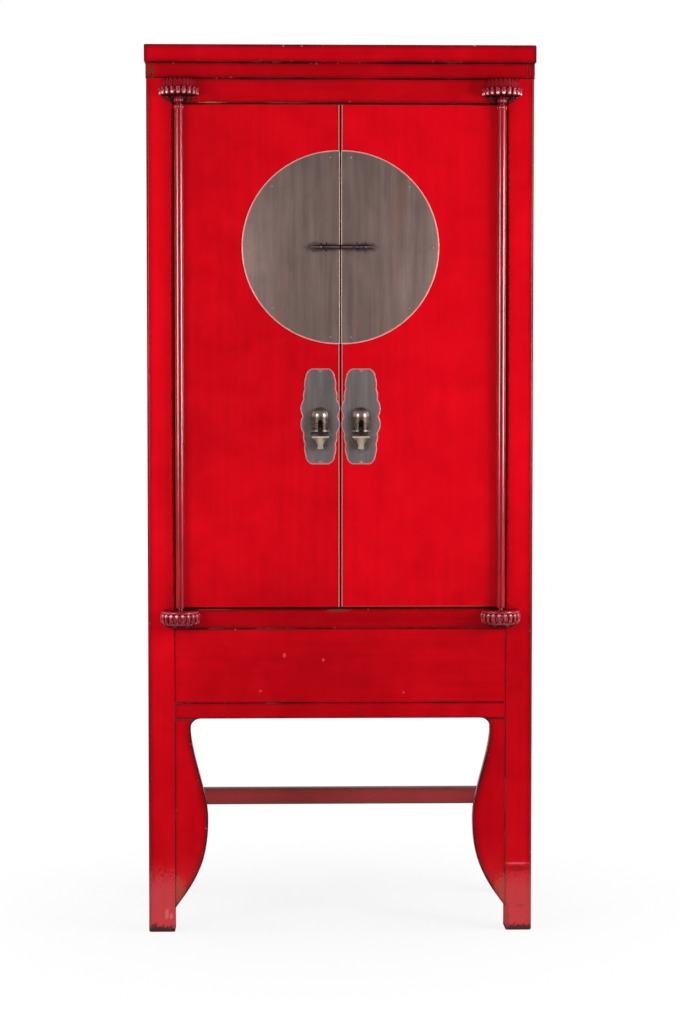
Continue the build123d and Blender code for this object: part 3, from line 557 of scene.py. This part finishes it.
def cut_through(shape, point, direction, clear_outer=False):
    """Cuts a shape along a plane, and may take away what lies beyond it."""
    return bmesh.ops.bisect_plane(
        shape,
        geom=shape.verts[:] + shape.edges[:] + shape.faces[:],
        plane_co=point,
        plane_no=direction,
        clear_outer=clear_outer,
    )


def note_outline(shape, outline, low, high, square):
    """Cuts a flat shape into small squares, whose corners note how far they lie from the outline."""
    for axis in range(3):
        for cut in range(1, int((high[axis] - low[axis]) / square) + 1):
            point = Vector(low)
            point[axis] += cut * square
            cut_through(shape, point, [int(axis == other) for other in range(3)])
    layer = shape.verts.layers.float.new("edge_distance")
    for vert in shape.verts:
        nearest = 1.0
        for start, stop, weight in outline:
            share = intersect_point_line(vert.co, start, stop)[1]
            gap = vert.co - start.lerp(stop, min(1.0, max(0.0, share)))
            nearest = min(nearest, weight * sqrt(gap.x**2 + gap.z**2))
        vert[layer] = max(nearest, min(vert.co.y - low.y, high.y - vert.co.y))


joint_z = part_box("front_apron")[0].z
for side, tone in (("left", 0.2), ("right", -0.1)):
    node = f"{side}_bracket"
    low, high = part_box(node)
    toe_x, neck_x, joint_x = (low.x, high.x, -post_inner) if side == "left" else (high.x, low.x, post_inner)
    # The toe is rubbed brown. The dark spot at the bracket's inner tip is painted shade in the corner of the
    # opening
    marks = [
        front_spot(toe_x, low.z + 0.036, 0.026, 0.040, colour(158, 72, 56), 0.55),
        front_spot(neck_x * 0.93, high.z - 0.012, 0.012, 0.010, colour(96, 20, 18), 0.7),
    ]
    shape = merged_copy(node)
    outline = worn_outline(shape, joint_x, joint_z)
    note_outline(shape, outline, low, high, square=0.004)
    finish = lacquer(f"{node}_lacquer", upright_brush, tone=tone, wear=1.5, spots=marks)
    fit(as_piece(shape, f"{node}_board"), finish, node, "cabinet")

# -------------------- sides, back and stretchers
# The side panels and the back boards float in grooves. Low stretchers tie the legs at the back and
# the sides, and the front is left open.
for side in ("left", "right"):
    for rail in ("top_rail", "lower_rail", "stretcher"):
        lacquered(f"{side}_{rail}", deep_brush)
    lacquered(f"{side}_side_panel", upright_brush, wear=0.7)
for rail in ("rear_top_rail", "rear_lower_rail"):
    lacquered(rail, level_brush)
stretcher_low, stretcher_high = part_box("rear_stretcher")
dust = [((stretcher_low + stretcher_high) / 2, (0.9, 0.1, 0.9), colour(124, 70, 68), 0.55)]
lacquered("rear_stretcher", level_brush, wear=1.2, spots=dust)


# -------------------- bare wood inside
# The boards that nobody sees are planed softwood, oiled brown and dusty with age: the back boards,
# the floor, the shelves with their bearers, the stops and the battens behind the doors.
def build_plain_wood():
    """Brown wood with long grain lines, darker knots and dusty patches."""
    group, given = shared_group("plain_wood", {"Grain": "Vector"})
    place = place_in(group)
    grain = vector(group, "MULTIPLY", place, given["Grain"])
    figure = cloud(group, grain, 1.0, 4, 0.55, 0.6)
    lines = cloud(group, vector(group, "MULTIPLY", grain, (5, 5, 5)), 1.0, 3, 0.6)
    dust = cloud(group, place, 6, 4, 0.6)
    wood = blend(group, rise(group, figure, 0.3, 0.7), colour(96, 58, 36), colour(150, 98, 62))
    wood = blend(group, rise(group, lines, 0.55, 0.7, 0.0, 0.5), wood, colour(70, 40, 26))
    wood = blend(group, rise(group, dust, 0.5, 0.8, 0.0, 0.35), wood, colour(150, 130, 110))
    gloss = rise(group, lines, 0.3, 0.7, 0.55, 0.75)
    return finish_group(group, {"Color": wood, "Roughness": gloss, "Height": lines})


plain_wood = build_plain_wood()


def wooden(name, grain):
    """Bare wood whose grain runs along the axis with the smallest factor."""
    material, tree, shader = surface(name)
    lay_coat(tree, shader, add_node(tree, "Group", {"Grain": grain}, node_tree=plain_wood), 0.0003)
    return material


level_wood = wooden("level_wood", (1.2, 18, 18))
upright_wood = wooden("upright_wood", (18, 18, 1.2))
deep_wood = wooden("deep_wood", (18, 1.2, 18))
for node, wood in (
    ("back_boards", upright_wood),
    ("floor_board", level_wood),
    ("lower_shelf", level_wood),
    ("upper_shelf", level_wood),
    ("bearers", deep_wood),
    ("door_stops", level_wood),
    ("left_door_battens", level_wood),
    ("right_door_battens", level_wood),
):
    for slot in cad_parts[node].material_slots:
        slot.material = wood

# -------------------- doors
# Each door is one wide board, lacquered on its face, with its edges rubbed pale along the meeting
# line. It is pegged to the round pole that it turns on.
for side in ("left", "right"):
    low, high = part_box(f"{side}_door_panel")
    marks = []
    if side == "left":
        low.x -= in_joint
    else:
        marks = [front_spot(0.17, low.z + 0.001, 0.26, 0.0018, colour(208, 84, 64), 0.22)]
        high.x += in_joint
    low.z -= in_joint
    high.z += in_joint
    lacquered(
        f"{side}_door_panel",
        upright_brush,
        low,
        high,
        tone=0.14 if side == "right" else 0.0,
        wear=0.7,
        pale=1.0,
        spots=marks,
        body=f"{side}_door",
    )


# -------------------- poles
# A turned pole stands in front of each door's outer edge, with a pin at both ends and a ring of
# small carved leaves at its head. Hands and cloths have worn its dark red lacquer to a hard shine.
def turned(outline, steps):
    """A solid of revolution about the upright axis, from (radius, height) points."""
    shape = bmesh.new()
    verts = [shape.verts.new((radius, 0, height)) for radius, height in outline]
    edges = [shape.edges.new(pair) for pair in zip(verts, verts[1:])]
    bmesh.ops.spin(
        shape, geom=verts + edges, axis=(0, 0, 1), cent=(0, 0, 0), angle=2 * pi, steps=steps, use_merge=True
    )
    bmesh.ops.remove_doubles(shape, verts=shape.verts, dist=touching)
    bmesh.ops.recalc_face_normals(shape, faces=shape.faces)
    return shape


def turn(shape, angle, axis):
    """Turns a whole shape about an axis through the middle by so many degrees."""
    matrix = Matrix.Rotation(radians(angle), 3, axis)
    bmesh.ops.rotate(shape, cent=(0, 0, 0), matrix=matrix, verts=shape.verts)


def leaf(size, place, lean):
    """A rounded leaf of this half size, whose top leans out from the axis by so many degrees."""
    shape = bmesh.new()
    bmesh.ops.create_uvsphere(shape, u_segments=16, v_segments=10, radius=1)
    bmesh.ops.scale(shape, vec=size, verts=shape.verts)
    turn(shape, lean, "X")
    bmesh.ops.translate(shape, vec=place, verts=shape.verts)
    return shape


def repeat_round(shape, count, start=0.0):
    """Copies a shape evenly round the upright axis, starting this many degrees from the front."""
    turn(shape, start, "Z")
    bmesh.ops.spin(
        shape,
        geom=shape.verts[:] + shape.edges[:] + shape.faces[:],
        axis=(0, 0, 1),
        cent=(0, 0, 0),
        angle=2 * pi * (count - 1) / count,
        steps=count - 1,
        use_duplicate=True,
    )


def join_into(whole, part, reach=None, depth=1.0, least=0.0, shine=1.0):
    """Adds a part to a carving, and notes its shine and how deep its points lie inside its reach.

    Points with a depth below 0 are rubbed lacquer and get a paler colour, and the beads a painted highlight."""
    carved = part.verts.layers.float.new("carved")
    shiny = part.verts.layers.float.new("shiny")
    for vert in part.verts:
        inside = 0.0 if reach is None else (reach - sqrt(vert.co.x**2 + vert.co.y**2)) / depth
        vert[carved] = least + (1 - least) * min(1.0, max(0.0, inside))
        vert[shiny] = shine
    mesh = bpy.data.meshes.new("part")
    part.to_mesh(mesh)
    part.free()
    whole.from_mesh(mesh)
    bpy.data.meshes.remove(mesh)


def pole_lacquer():
    """Dark red lacquer with brown patches, under a hard, uneven shine."""
    settings = {"IOR": 1.5, "Specular IOR Level": 0.15, "Coat Weight": 1.0}
    settings |= {"Coat Roughness": 0.18, "Coat IOR": 1.75}
    material, tree, shader = surface("pole_lacquer", settings)
    place = place_in(tree)
    streaks = cloud(tree, vector(tree, "MULTIPLY", place, (150, 150, 14)), 1.0, 5, 0.65)
    patches = cloud(tree, vector(tree, "MULTIPLY", place, (60, 60, 9)), 1.0, 4, 0.6)
    ripples = cloud(tree, vector(tree, "MULTIPLY", place, (50, 50, 48)), 1.0, 4, 0.6)
    red = blend(tree, rise(tree, patches, 0.35, 0.65), colour(142, 2, 18), colour(176, 4, 26))
    coat = blend(tree, rise(tree, streaks, 0.52, 0.66, 0.0, 0.7), red, colour(84, 6, 14))
    tree.links.new(coat, shader.inputs["Base Color"])
    tree.links.new(rise(tree, streaks, 0.35, 0.62, 0.28, 0.42), shader.inputs["Roughness"])
    relief(tree, shader, work_out(tree, "ADD", ripples, times(tree, streaks, 0.4)), 0.0005)
    return material


pole_finish = pole_lacquer()
pin_radius = 0.0055
below_door = 0.002
chamfer = 0.001
ripple = 0.00015
bands = 60
for side in ("left", "right"):
    low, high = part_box(f"{side}_door_pole")
    pole_centre = Vector(((low.x + high.x) / 2, (low.y + high.y) / 2, 0))
    pole_radius = (high.x - low.x) / 2
    door_low, door_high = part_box(f"{side}_door_panel")
    shaft_low = door_low.z - below_door
    outline = [(0, low.z), (pin_radius, low.z), (pin_radius, shaft_low)]
    outline += [(pole_radius - chamfer, shaft_low), (pole_radius, shaft_low + chamfer)]
    for band in range(1, bands):
        height = shaft_low + (door_high.z - shaft_low) * band / bands
        outline.append((pole_radius - ripple * (1 + sin(band * 2.7)), height))
    outline += [(pole_radius, door_high.z - chamfer), (pole_radius - chamfer, door_high.z)]
    outline += [(pin_radius, door_high.z), (pin_radius, high.z), (0, high.z)]
    whole = bmesh.new()
    join_into(whole, turned(outline, 32))
    head_leaf = leaf((0.0036, 0.0024, 0.0056), (0, -0.0092, door_high.z - 0.0058), 4)
    repeat_round(head_leaf, 8, 12)
    join_into(whole, head_leaf)
    bmesh.ops.translate(whole, vec=pole_centre, verts=whole.verts)
    pole = as_piece(whole, f"{side}_pole")
    fit(pole, pole_finish, f"{side}_door_pole", f"{side}_door")

# -------------------- lotus sockets
# The poles turn in carved lotus flowers, pegged to the posts. The upper flower opens upwards from
# the pole in a ring of full petals with curled tips, between leaves above and below. The lower one
# is a cup of scooped petals. Both are dark lacquer, rubbed pale outside with painted highlights on
# the beads, and painted near black in the cuts and dark on the upper flower's lower leaves, as painted shade.
petals = 20
bore = 0.0056


def upper_flower():
    """The flower over a pole, from the middle of its lower face."""
    whole = bmesh.new()
    core = [(bore, 0), (0.0082, 0), (0.0085, 0.0146), (0.0330, 0.0146), (0.0350, 0.0150), (0.0352, 0.0160)]
    core += [(0.0345, 0.0170), (0.0358, 0.0200), (0.0362, 0.0290), (0.0352, 0.0300), (0.0350, 0.0490)]
    core += [(bore, 0.0490)]
    join_into(whole, turned(core, 96), 0.0385, 0.004, 0, 0.0)
    petal = leaf((0.0060, 0.0040, 0.0078), (0, -0.0366, 0.0226), 22)
    repeat_round(petal, petals)
    join_into(whole, petal, 0.0405, 0.0050, 0, 0.3)
    bead = leaf((0.0040, 0.0032, 0.0034), (0, -0.0384, 0.0198), 0)
    repeat_round(bead, petals)
    join_into(whole, bead, 0.0413, 0.0060, -0.5)
    curl = leaf((0.0048, 0.0022, 0.0034), (0, -0.0396, 0.0284), 44)
    repeat_round(curl, petals)
    join_into(whole, curl, 0.0424, 0.0070, 0, 0.6)
    upper_leaf = leaf((0.0048, 0.0010, 0.0112), (0, -0.0350, 0.0384), 1)
    repeat_round(upper_leaf, 24, 5)
    join_into(whole, upper_leaf, 0.0366, 0.0050, 0.18, 0.0)
    lower_leaf = leaf((0.0078, 0.0030, 0.0128), (0, -0.0235, 0.0082), 58)
    repeat_round(lower_leaf, 12, 12)
    bmesh.ops.scale(
        lower_leaf, vec=(1, 0.30, 1), space=Matrix.Translation((0, -0.008, 0)), verts=lower_leaf.verts
    )
    # The lower leaves are painted dark: painted shade under the bowl
    join_into(whole, lower_leaf, 0.0350, 0.0260, 0.38, 0.12)
    sepal = leaf((0.0034, 0.0022, 0.0076), (0, -0.0078, 0.0076), 2)
    repeat_round(sepal, 8, 20)
    join_into(whole, sepal, 0.0098, 0.0040, 0.1, 0.3)
    return whole


def scooped_petal():
    """A petal of the lower flower: a raised rim like the letter U round a deep scoop."""
    shape = bmesh.new()
    bmesh.ops.create_circle(shape, cap_ends=True, radius=1, segments=20)
    turn(shape, 90, "X")
    bmesh.ops.scale(shape, vec=(0.0063, 1, 0.0110), verts=shape.verts)
    upper = [vert for vert in shape.verts if vert.co.z > 0.002]
    bmesh.ops.scale(shape, vec=(1.06, 1, 0.86), verts=upper)
    grown = bmesh.ops.extrude_face_region(shape, geom=shape.faces[:])
    rim = [part for part in grown["geom"] if isinstance(part, bmesh.types.BMVert)]
    bmesh.ops.translate(shape, vec=(0, -0.0044, 0), verts=rim)
    bmesh.ops.recalc_face_normals(shape, faces=shape.faces)
    scoop = [face for face in shape.faces if face.normal.y < -0.9]
    for inset, sink in ((0.0013, -0.0003), (0.0013, 0.0008), (0.0010, 0.0022), (0.0010, 0.0012)):
        bmesh.ops.inset_region(shape, faces=scoop, thickness=inset, use_boundary=True)
        inner = list({vert for face in scoop for vert in face.verts})
        bmesh.ops.translate(shape, vec=(0, sink, 0), verts=inner)
    return shape


def lower_flower():
    """The flower under a pole, from the middle of its upper face."""
    whole = bmesh.new()
    core = [(bore, -0.0400), (0.0150, -0.0400), (0.0255, -0.0376), (0.0310, -0.0345), (0.0306, -0.0334)]
    core += [(0.0335, -0.0322), (0.0368, -0.0290), (0.0372, -0.0085), (0.0384, -0.0076), (0.0394, -0.0056)]
    core += [(0.0384, -0.0030), (0.0350, -0.0008), (0.0312, 0), (0.0290, -0.0008), (bore, -0.0008)]
    join_into(whole, turned(core, 120), 0.0395, 0.0065, -0.12, 0.5)
    petal = scooped_petal()
    turn(petal, 5, "X")
    bmesh.ops.translate(petal, vec=(0, -0.0362, -0.0190), verts=petal.verts)
    repeat_round(petal, petals)
    join_into(whole, petal, 0.0408, 0.0044, -0.05, 0.3)
    bead = leaf((0.0042, 0.0026, 0.0042), (0, -0.0384, -0.0120), 0)
    repeat_round(bead, petals, 180 / petals)
    join_into(whole, bead, 0.0410, 0.0060, -0.5)
    return whole


def flower_lacquer():
    """Red on the petals, painted near black in the cuts as painted shade, and pale where the lacquer is
    rubbed, with painted highlights on the beads.
    """
    settings = {"IOR": 1.45, "Specular IOR Level": 0.1, "Coat Roughness": 0.14, "Coat IOR": 2.0}
    material, tree, shader = surface("flower_lacquer", settings)
    place = place_in(tree)
    hollow = add_node(tree, "Attribute", attribute_name="carved").outputs["Fac"]
    patches = cloud(tree, place, 75, 4, 0.6)
    fine = cloud(tree, place, 320, 3, 0.6)
    level = added(tree, work_out(tree, "SUBTRACT", patches, 0.5), 0.5, hollow)
    rubbed = blend(tree, rise(tree, patches, 0.4, 0.6), colour(146, 10, 32), colour(178, 70, 82))
    # In patches the beads turn pink-white: painted highlights
    highlight_patches = rise(tree, cloud(tree, place, 34, 2, 0.5), 0.40, 0.56, 0.35, 1.0)
    painted_highlight = times(tree, rise(tree, level, -0.10, -0.34), highlight_patches)
    rubbed = blend(tree, painted_highlight, rubbed, colour(255, 190, 192))
    coat = blend(tree, rise(tree, level, -0.02, 0.16), rubbed, colour(140, 4, 22))
    # Deeper points darken towards near black: painted shade in the cuts
    coat = blend(tree, rise(tree, level, 0.24, 0.50), coat, colour(100, 6, 12))
    coat = blend(tree, rise(tree, level, 0.60, 0.95), coat, colour(44, 4, 6))
    tree.links.new(coat, shader.inputs["Base Color"])
    tree.links.new(rise(tree, fine, 0.3, 0.7, 0.45, 0.65), shader.inputs["Roughness"])
    relief(tree, shader, added(tree, patches, 0.8, fine), 0.0003)
    shine = add_node(tree, "Attribute", attribute_name="shiny").outputs["Fac"]
    tree.links.new(shine, shader.inputs["Coat Weight"])
    return material


flower_finish = flower_lacquer()
for side in ("left", "right"):
    for level in ("upper", "lower"):
        node = f"{level}_{side}_socket"
        low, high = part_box(node)
        shape = upper_flower() if level == "upper" else lower_flower()
        base = low.z if level == "upper" else high.z
        centre = Vector(((low.x + high.x) / 2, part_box(f"{side}_door_pole")[0].y + pole_radius, base))
        bmesh.ops.translate(shape, vec=centre, verts=shape.verts)
        cut = cut_through(shape, (0, case_front, 0), (0, 1, 0), clear_outer=True)
        rim = [part for part in cut["geom_cut"] if isinstance(part, bmesh.types.BMEdge)]
        bmesh.ops.edgeloop_fill(shape, edges=rim)
        fit(as_piece(shape, f"{level}_{side}_flower", 60), flower_finish, node, "cabinet")

# -------------------- round brass plate
# Two half discs of sheet brass are nailed to the doors. Their patina is brown and grey, brushed
# upright, and the filed edges are still bright.


def build_patina():
    """Grey-brown brass with faint upright streaks and stains, rubbed bright near its edges."""
    inputs = {"Edge Distance": "Float", "Streak": "Vector", "Dark": "Color", "Light": "Color", "Rim": "Color"}
    group, given = shared_group("patina", inputs)
    place = place_in(group)
    streaks = cloud(group, vector(group, "MULTIPLY", place, given["Streak"]), 1.0, 5, 0.65)
    stains = cloud(group, place, 9, 4, 0.6, 0.5)
    rust = cloud(group, vector(group, "MULTIPLY", place, (30, 30, 5)), 1.0, 4, 0.6)
    fine = cloud(group, place, 400, 3, 0.6)
    level = added(group, streaks, 0.8, times(group, stains, 0.5))
    metal = blend(group, rise(group, level, 0.35, 0.95), given["Dark"], given["Light"])
    metal = blend(group, rise(group, rust, 0.56, 0.74, 0.0, 0.35), metal, colour(170, 116, 96))
    metal = blend(group, rise(group, stains, 0.6, 0.8, 0.0, 0.3), metal, colour(126, 122, 110))
    wander = work_out(group, "SUBTRACT", cloud(group, place, 60, 3, 0.5), 0.5)
    bright = rise(group, added(group, wander, 0.0022, given["Edge Distance"]), 0.0038, 0.0008)
    metal = blend(group, bright, metal, given["Rim"])
    gloss = added(group, streaks, 0.16, 0.38)
    shine = rise(group, bright, 0.0, 1.0, 0.55, 0.30)
    height = added(group, streaks, 0.5, times(group, fine, 0.25))
    return finish_group(group, {"Color": metal, "Roughness": gloss, "Metallic": shine, "Height": height})


def build_disc_edges():
    """How far a point on a half disc lies from its round edge or from its straight one."""
    inputs = {"Centre": "Vector", "Radius": "Float", "Straight": "Float"}
    group, given = shared_group("disc_edges", inputs)
    place = place_in(group)
    offset = vector(group, "SUBTRACT", place, given["Centre"])
    from_centre = length(group, vector(group, "MULTIPLY", offset, (1, 0, 1)))
    from_round = work_out(group, "SUBTRACT", given["Radius"], from_centre)
    from_straight = work_out(group, "SUBTRACT", along(group, place, "X"), given["Straight"])
    from_straight = times(group, work_out(group, "ABSOLUTE", from_straight), 1.8)
    return finish_group(group, {"Distance": work_out(group, "MINIMUM", from_round, from_straight)})


patina = build_patina()
disc_edges = build_disc_edges()


def brass(name, dark, light, rim, spots=()):
    """Old brass between a dark and a light colour, with nothing rubbed bright as yet."""
    material, tree, shader = surface(name)
    inputs = {"Edge Distance": 1.0, "Streak": (60, 60, 4), "Dark": dark, "Light": light, "Rim": rim}
    coat = add_node(tree, "Group", inputs, node_tree=patina)
    lay_coat(tree, shader, coat, 0.0002, spots)
    tree.links.new(coat.outputs["Metallic"], shader.inputs["Metallic"])
    return material, tree, coat


disc_low, disc_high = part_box("left_half_disc")
disc_radius = (disc_high.z - disc_low.z) / 2
disc_middle = (disc_high.z + disc_low.z) / 2
bar_shadows = [
    ((x, disc_low.y, disc_middle), (0.024, 0.02, 0.012), colour(66, 48, 48), 0.6) for x in (-0.050, 0.054)
]
for side, outward in (("left", -1), ("right", 1)):
    low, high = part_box(f"{side}_half_disc")
    meeting = high.x if side == "left" else low.x
    round_middle = low.x + disc_radius if side == "left" else high.x - disc_radius
    shape = bmesh.new()
    bmesh.ops.create_circle(shape, cap_ends=True, radius=disc_radius, segments=240)
    turn(shape, 90, "X")
    bmesh.ops.translate(shape, vec=(round_middle, high.y, disc_middle), verts=shape.verts)
    cut_through(shape, (meeting, 0, 0), (-outward, 0, 0), clear_outer=True)
    grown = bmesh.ops.extrude_face_region(shape, geom=shape.faces[:], use_keep_orig=True)
    lifted = [part for part in grown["geom"] if isinstance(part, bmesh.types.BMVert)]
    bmesh.ops.translate(shape, vec=(0, low.y - high.y, 0), verts=lifted)
    bmesh.ops.recalc_face_normals(shape, faces=shape.faces)
    filed = [edge for edge in shape.edges if all(vert.co.y < low.y + touching for vert in edge.verts)]
    bmesh.ops.bevel(shape, geom=filed, offset=0.0009, affect="EDGES", segments=2, profile=0.5, material=-1)
    disc = as_piece(shape, f"{side}_round_plate", 30)
    dark, light, rim = colour(124, 102, 97), colour(156, 132, 124), colour(250, 184, 170)
    finish, tree, coat = brass(f"{side}_round_brass", dark, light, rim, bar_shadows)
    inputs = {"Centre": (round_middle, 0, disc_middle), "Radius": disc_radius, "Straight": meeting}
    edges = add_node(tree, "Group", inputs, node_tree=disc_edges)
    tree.links.new(edges.outputs["Distance"], coat.inputs["Edge Distance"])
    from_meeting = work_out(tree, "SUBTRACT", along(tree, place_in(tree), "X"), meeting)
    aside = rise(tree, work_out(tree, "ABSOLUTE", from_meeting), 0.006, 0.012)
    tree.links.new(blend(tree, aside, colour(226, 194, 178), colour(250, 176, 164)), coat.inputs["Rim"])
    fit(disc, finish, f"{side}_half_disc", f"{side}_door")

# -------------------- nails
# Small domed brass nails hold the plates. Each is driven home until its head sits on the metal.
nail_brass = brass("nail_brass", colour(140, 116, 108), colour(180, 156, 142), colour(200, 170, 150))[0]
nail_radius = 0.0026
nail_rise = 0.0013
for side in ("left", "right"):
    node = f"{side}_brass_nails"
    plain_nails = merged_copy(node)
    heads = [face.calc_center_bounds() for face in plain_nails.faces if face.normal.y < -0.99]
    plain_nails.free()
    nails = bmesh.new()
    for head in heads:
        dome = bmesh.ops.create_uvsphere(nails, u_segments=20, v_segments=12, radius=nail_radius)["verts"]
        bmesh.ops.scale(nails, vec=(1, nail_rise / nail_radius, 0.96), verts=dome)
        bmesh.ops.translate(nails, vec=head + Vector((0, nail_rise, 0)), verts=dome)
    fit(as_piece(nails, f"{side}_nail_heads", 60), nail_brass, node, f"{side}_door")


# -------------------- latch bar
# A fixed keeper on the left door and a tube on the right one, with a bolt that slides through it.
# They are turned bronze, almost black with age, and glossier along a band at their middle height, where a
# pale painted highlight runs along the rod and the ridges of the knobs.
def dark_bronze(name, dark, light, worn, heights, metal=0.6, middle=None, spots=()):
    """Bronze with a dark skin, rubbed glossy by hands in a band between four rising heights, where a pale
    painted highlight lies on it.

    It may be painted paler within a few millimetres of its middle, a painted highlight, and black above the
    band, painted shade."""
    material, tree, shader = surface(name, {"Metallic": metal})
    place = place_in(tree)
    patches = cloud(tree, place, 60, 4, 0.6)
    fine = cloud(tree, place, 500, 3, 0.6)
    height = added(tree, work_out(tree, "SUBTRACT", patches, 0.5), 0.002, along(tree, place, "Z"))
    above = rise(tree, height, heights[0], heights[1])
    polish_and_highlight = times(tree, above, rise(tree, height, heights[2], heights[3], 1.0, 0.0))
    coat = blend(tree, rise(tree, patches, 0.38, 0.66), dark, light)
    if middle:
        across = work_out(tree, "ABSOLUTE", along(tree, place, "X"))
        aside = work_out(tree, "ABSOLUTE", work_out(tree, "SUBTRACT", across, middle))
        # Paler middle: painted highlight. Black above the band: painted shade on the stem
        coat = blend(tree, rise(tree, aside, 0.0105, 0.0010, 0.0, 0.5), coat, worn)
        coat = blend(tree, rise(tree, height, heights[2], heights[3]), coat, colour(50, 36, 28))
    # The band takes the pale colour, a painted highlight on the polished bronze
    coat = with_spots(tree, blend(tree, polish_and_highlight, coat, worn), spots)
    tree.links.new(coat, shader.inputs["Base Color"])
    gloss = added(tree, polish_and_highlight, -0.20, rise(tree, patches, 0.3, 0.7, 0.42, 0.52))
    tree.links.new(gloss, shader.inputs["Roughness"])
    relief(tree, shader, added(tree, patches, 0.5, fine), 0.00004)
    return material


bolt_low, bolt_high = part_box("latch_bolt")
bar_middle = (bolt_low.z + bolt_high.z) / 2
# The pale band at the bar's middle height is a painted highlight
bar_bronze = dark_bronze(
    "bar_bronze",
    colour(46, 24, 26),
    colour(64, 42, 42),
    colour(128, 104, 100),
    [bar_middle + step for step in (-0.0016, -0.0002, 0.0004, 0.0018)],
    metal=0.3,
)
for node, body in (
    ("latch_keeper", "left_door"),
    ("latch_guide", "right_door"),
    ("latch_bolt", "latch_bolt"),
):
    fit(eased_copy(node, 0.0005), bar_bronze, node, body)

# -------------------- lobed plates
# The two plates behind the pulls are cut from sheet brass with a lobed outline. Their edges are
# filed to a slope, and the metal beside them is rubbed pale.
pull_low, pull_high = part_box("left_pull")
housing_low, housing_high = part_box("left_pull_housing")
pull_aside = -(pull_low.x + pull_high.x) / 2
stains = []
for x in (-pull_aside, pull_aside):
    # Round each pull the plate is darker: a brown patch behind the pendant, a band of painted shadow under
    # the housing's base, and a darker patch round the housing's dome
    stains += [
        ((x, pull_low.y, pull_low.z + 0.014), (0.022, 0.10, 0.022), colour(88, 66, 48), 0.55),
        ((x, pull_low.y, housing_low.z - 0.004), (0.022, 0.10, 0.006), colour(78, 50, 30), 0.8),
        ((x, pull_low.y, housing_low.z + 0.024), (0.026, 0.10, 0.022), colour(66, 58, 48), 0.45),
    ]
dark, light, rim = colour(116, 105, 103), colour(150, 140, 138), colour(216, 138, 140)
plate_brass, tree, coat = brass("plate_brass", dark, light, rim, stains)
edge_distance = add_node(tree, "Attribute", attribute_name="edge_distance").outputs["Fac"]
tree.links.new(edge_distance, coat.inputs["Edge Distance"])
for side in ("left", "right"):
    node = f"{side}_lobed_plate"
    low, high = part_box(node)
    shape = merged_copy(node)
    outline = worn_outline(shape)
    bmesh.ops.bevel(
        shape, geom=front_edges(shape), offset=0.0010, affect="EDGES", segments=1, profile=0.5, material=-1
    )
    note_outline(shape, outline, low, high, square=0.0025)
    fit(as_piece(shape, f"{side}_pull_plate", 30), plate_brass, node, f"{side}_door")

# -------------------- pulls
# A domed casting holds the pin from which the pull hangs. Both are cast bronze with a dark skin,
# polished by hands on the housing's shoulders and the pull's upper edge, where pale painted highlights lie.
# The pull is painted paler in its middle, a painted highlight, and black on its stem above the upper edge,
# painted shade.
shoulder = housing_low.z + 0.0275
pull_top = pull_high.z - 0.0215
# The pale band on the housing's shoulders is a painted highlight
housing_bronze = dark_bronze(
    "housing_bronze",
    colour(92, 78, 72),
    colour(120, 104, 96),
    colour(196, 178, 166),
    (shoulder, shoulder + 0.008, housing_high.z - 0.012, housing_high.z - 0.004),
    metal=0.75,
    spots=[((0, pull_low.y, housing_low.z), (0.2, 0.10, 0.0022), colour(206, 196, 188), 0.6)],
)
# The pull's pale upper edge and paler middle are painted highlights, and its black stem is painted shade
pull_bronze = dark_bronze(
    "pull_bronze",
    colour(112, 90, 68),
    colour(142, 120, 94),
    colour(230, 214, 192),
    (pull_top - 0.0034, pull_top - 0.0012, pull_top, pull_top + 0.0010),
    metal=0.35,
    middle=pull_aside,
)
for side in ("left", "right"):
    for node, body, bronze in (
        (f"{side}_pull_housing", f"{side}_door", housing_bronze),
        (f"{side}_pull_pin", f"{side}_door", bar_bronze),
        (f"{side}_pull", f"{side}_pendant", pull_bronze),
    ):
        fit(eased_copy(node, 0.0004), bronze, node, body)
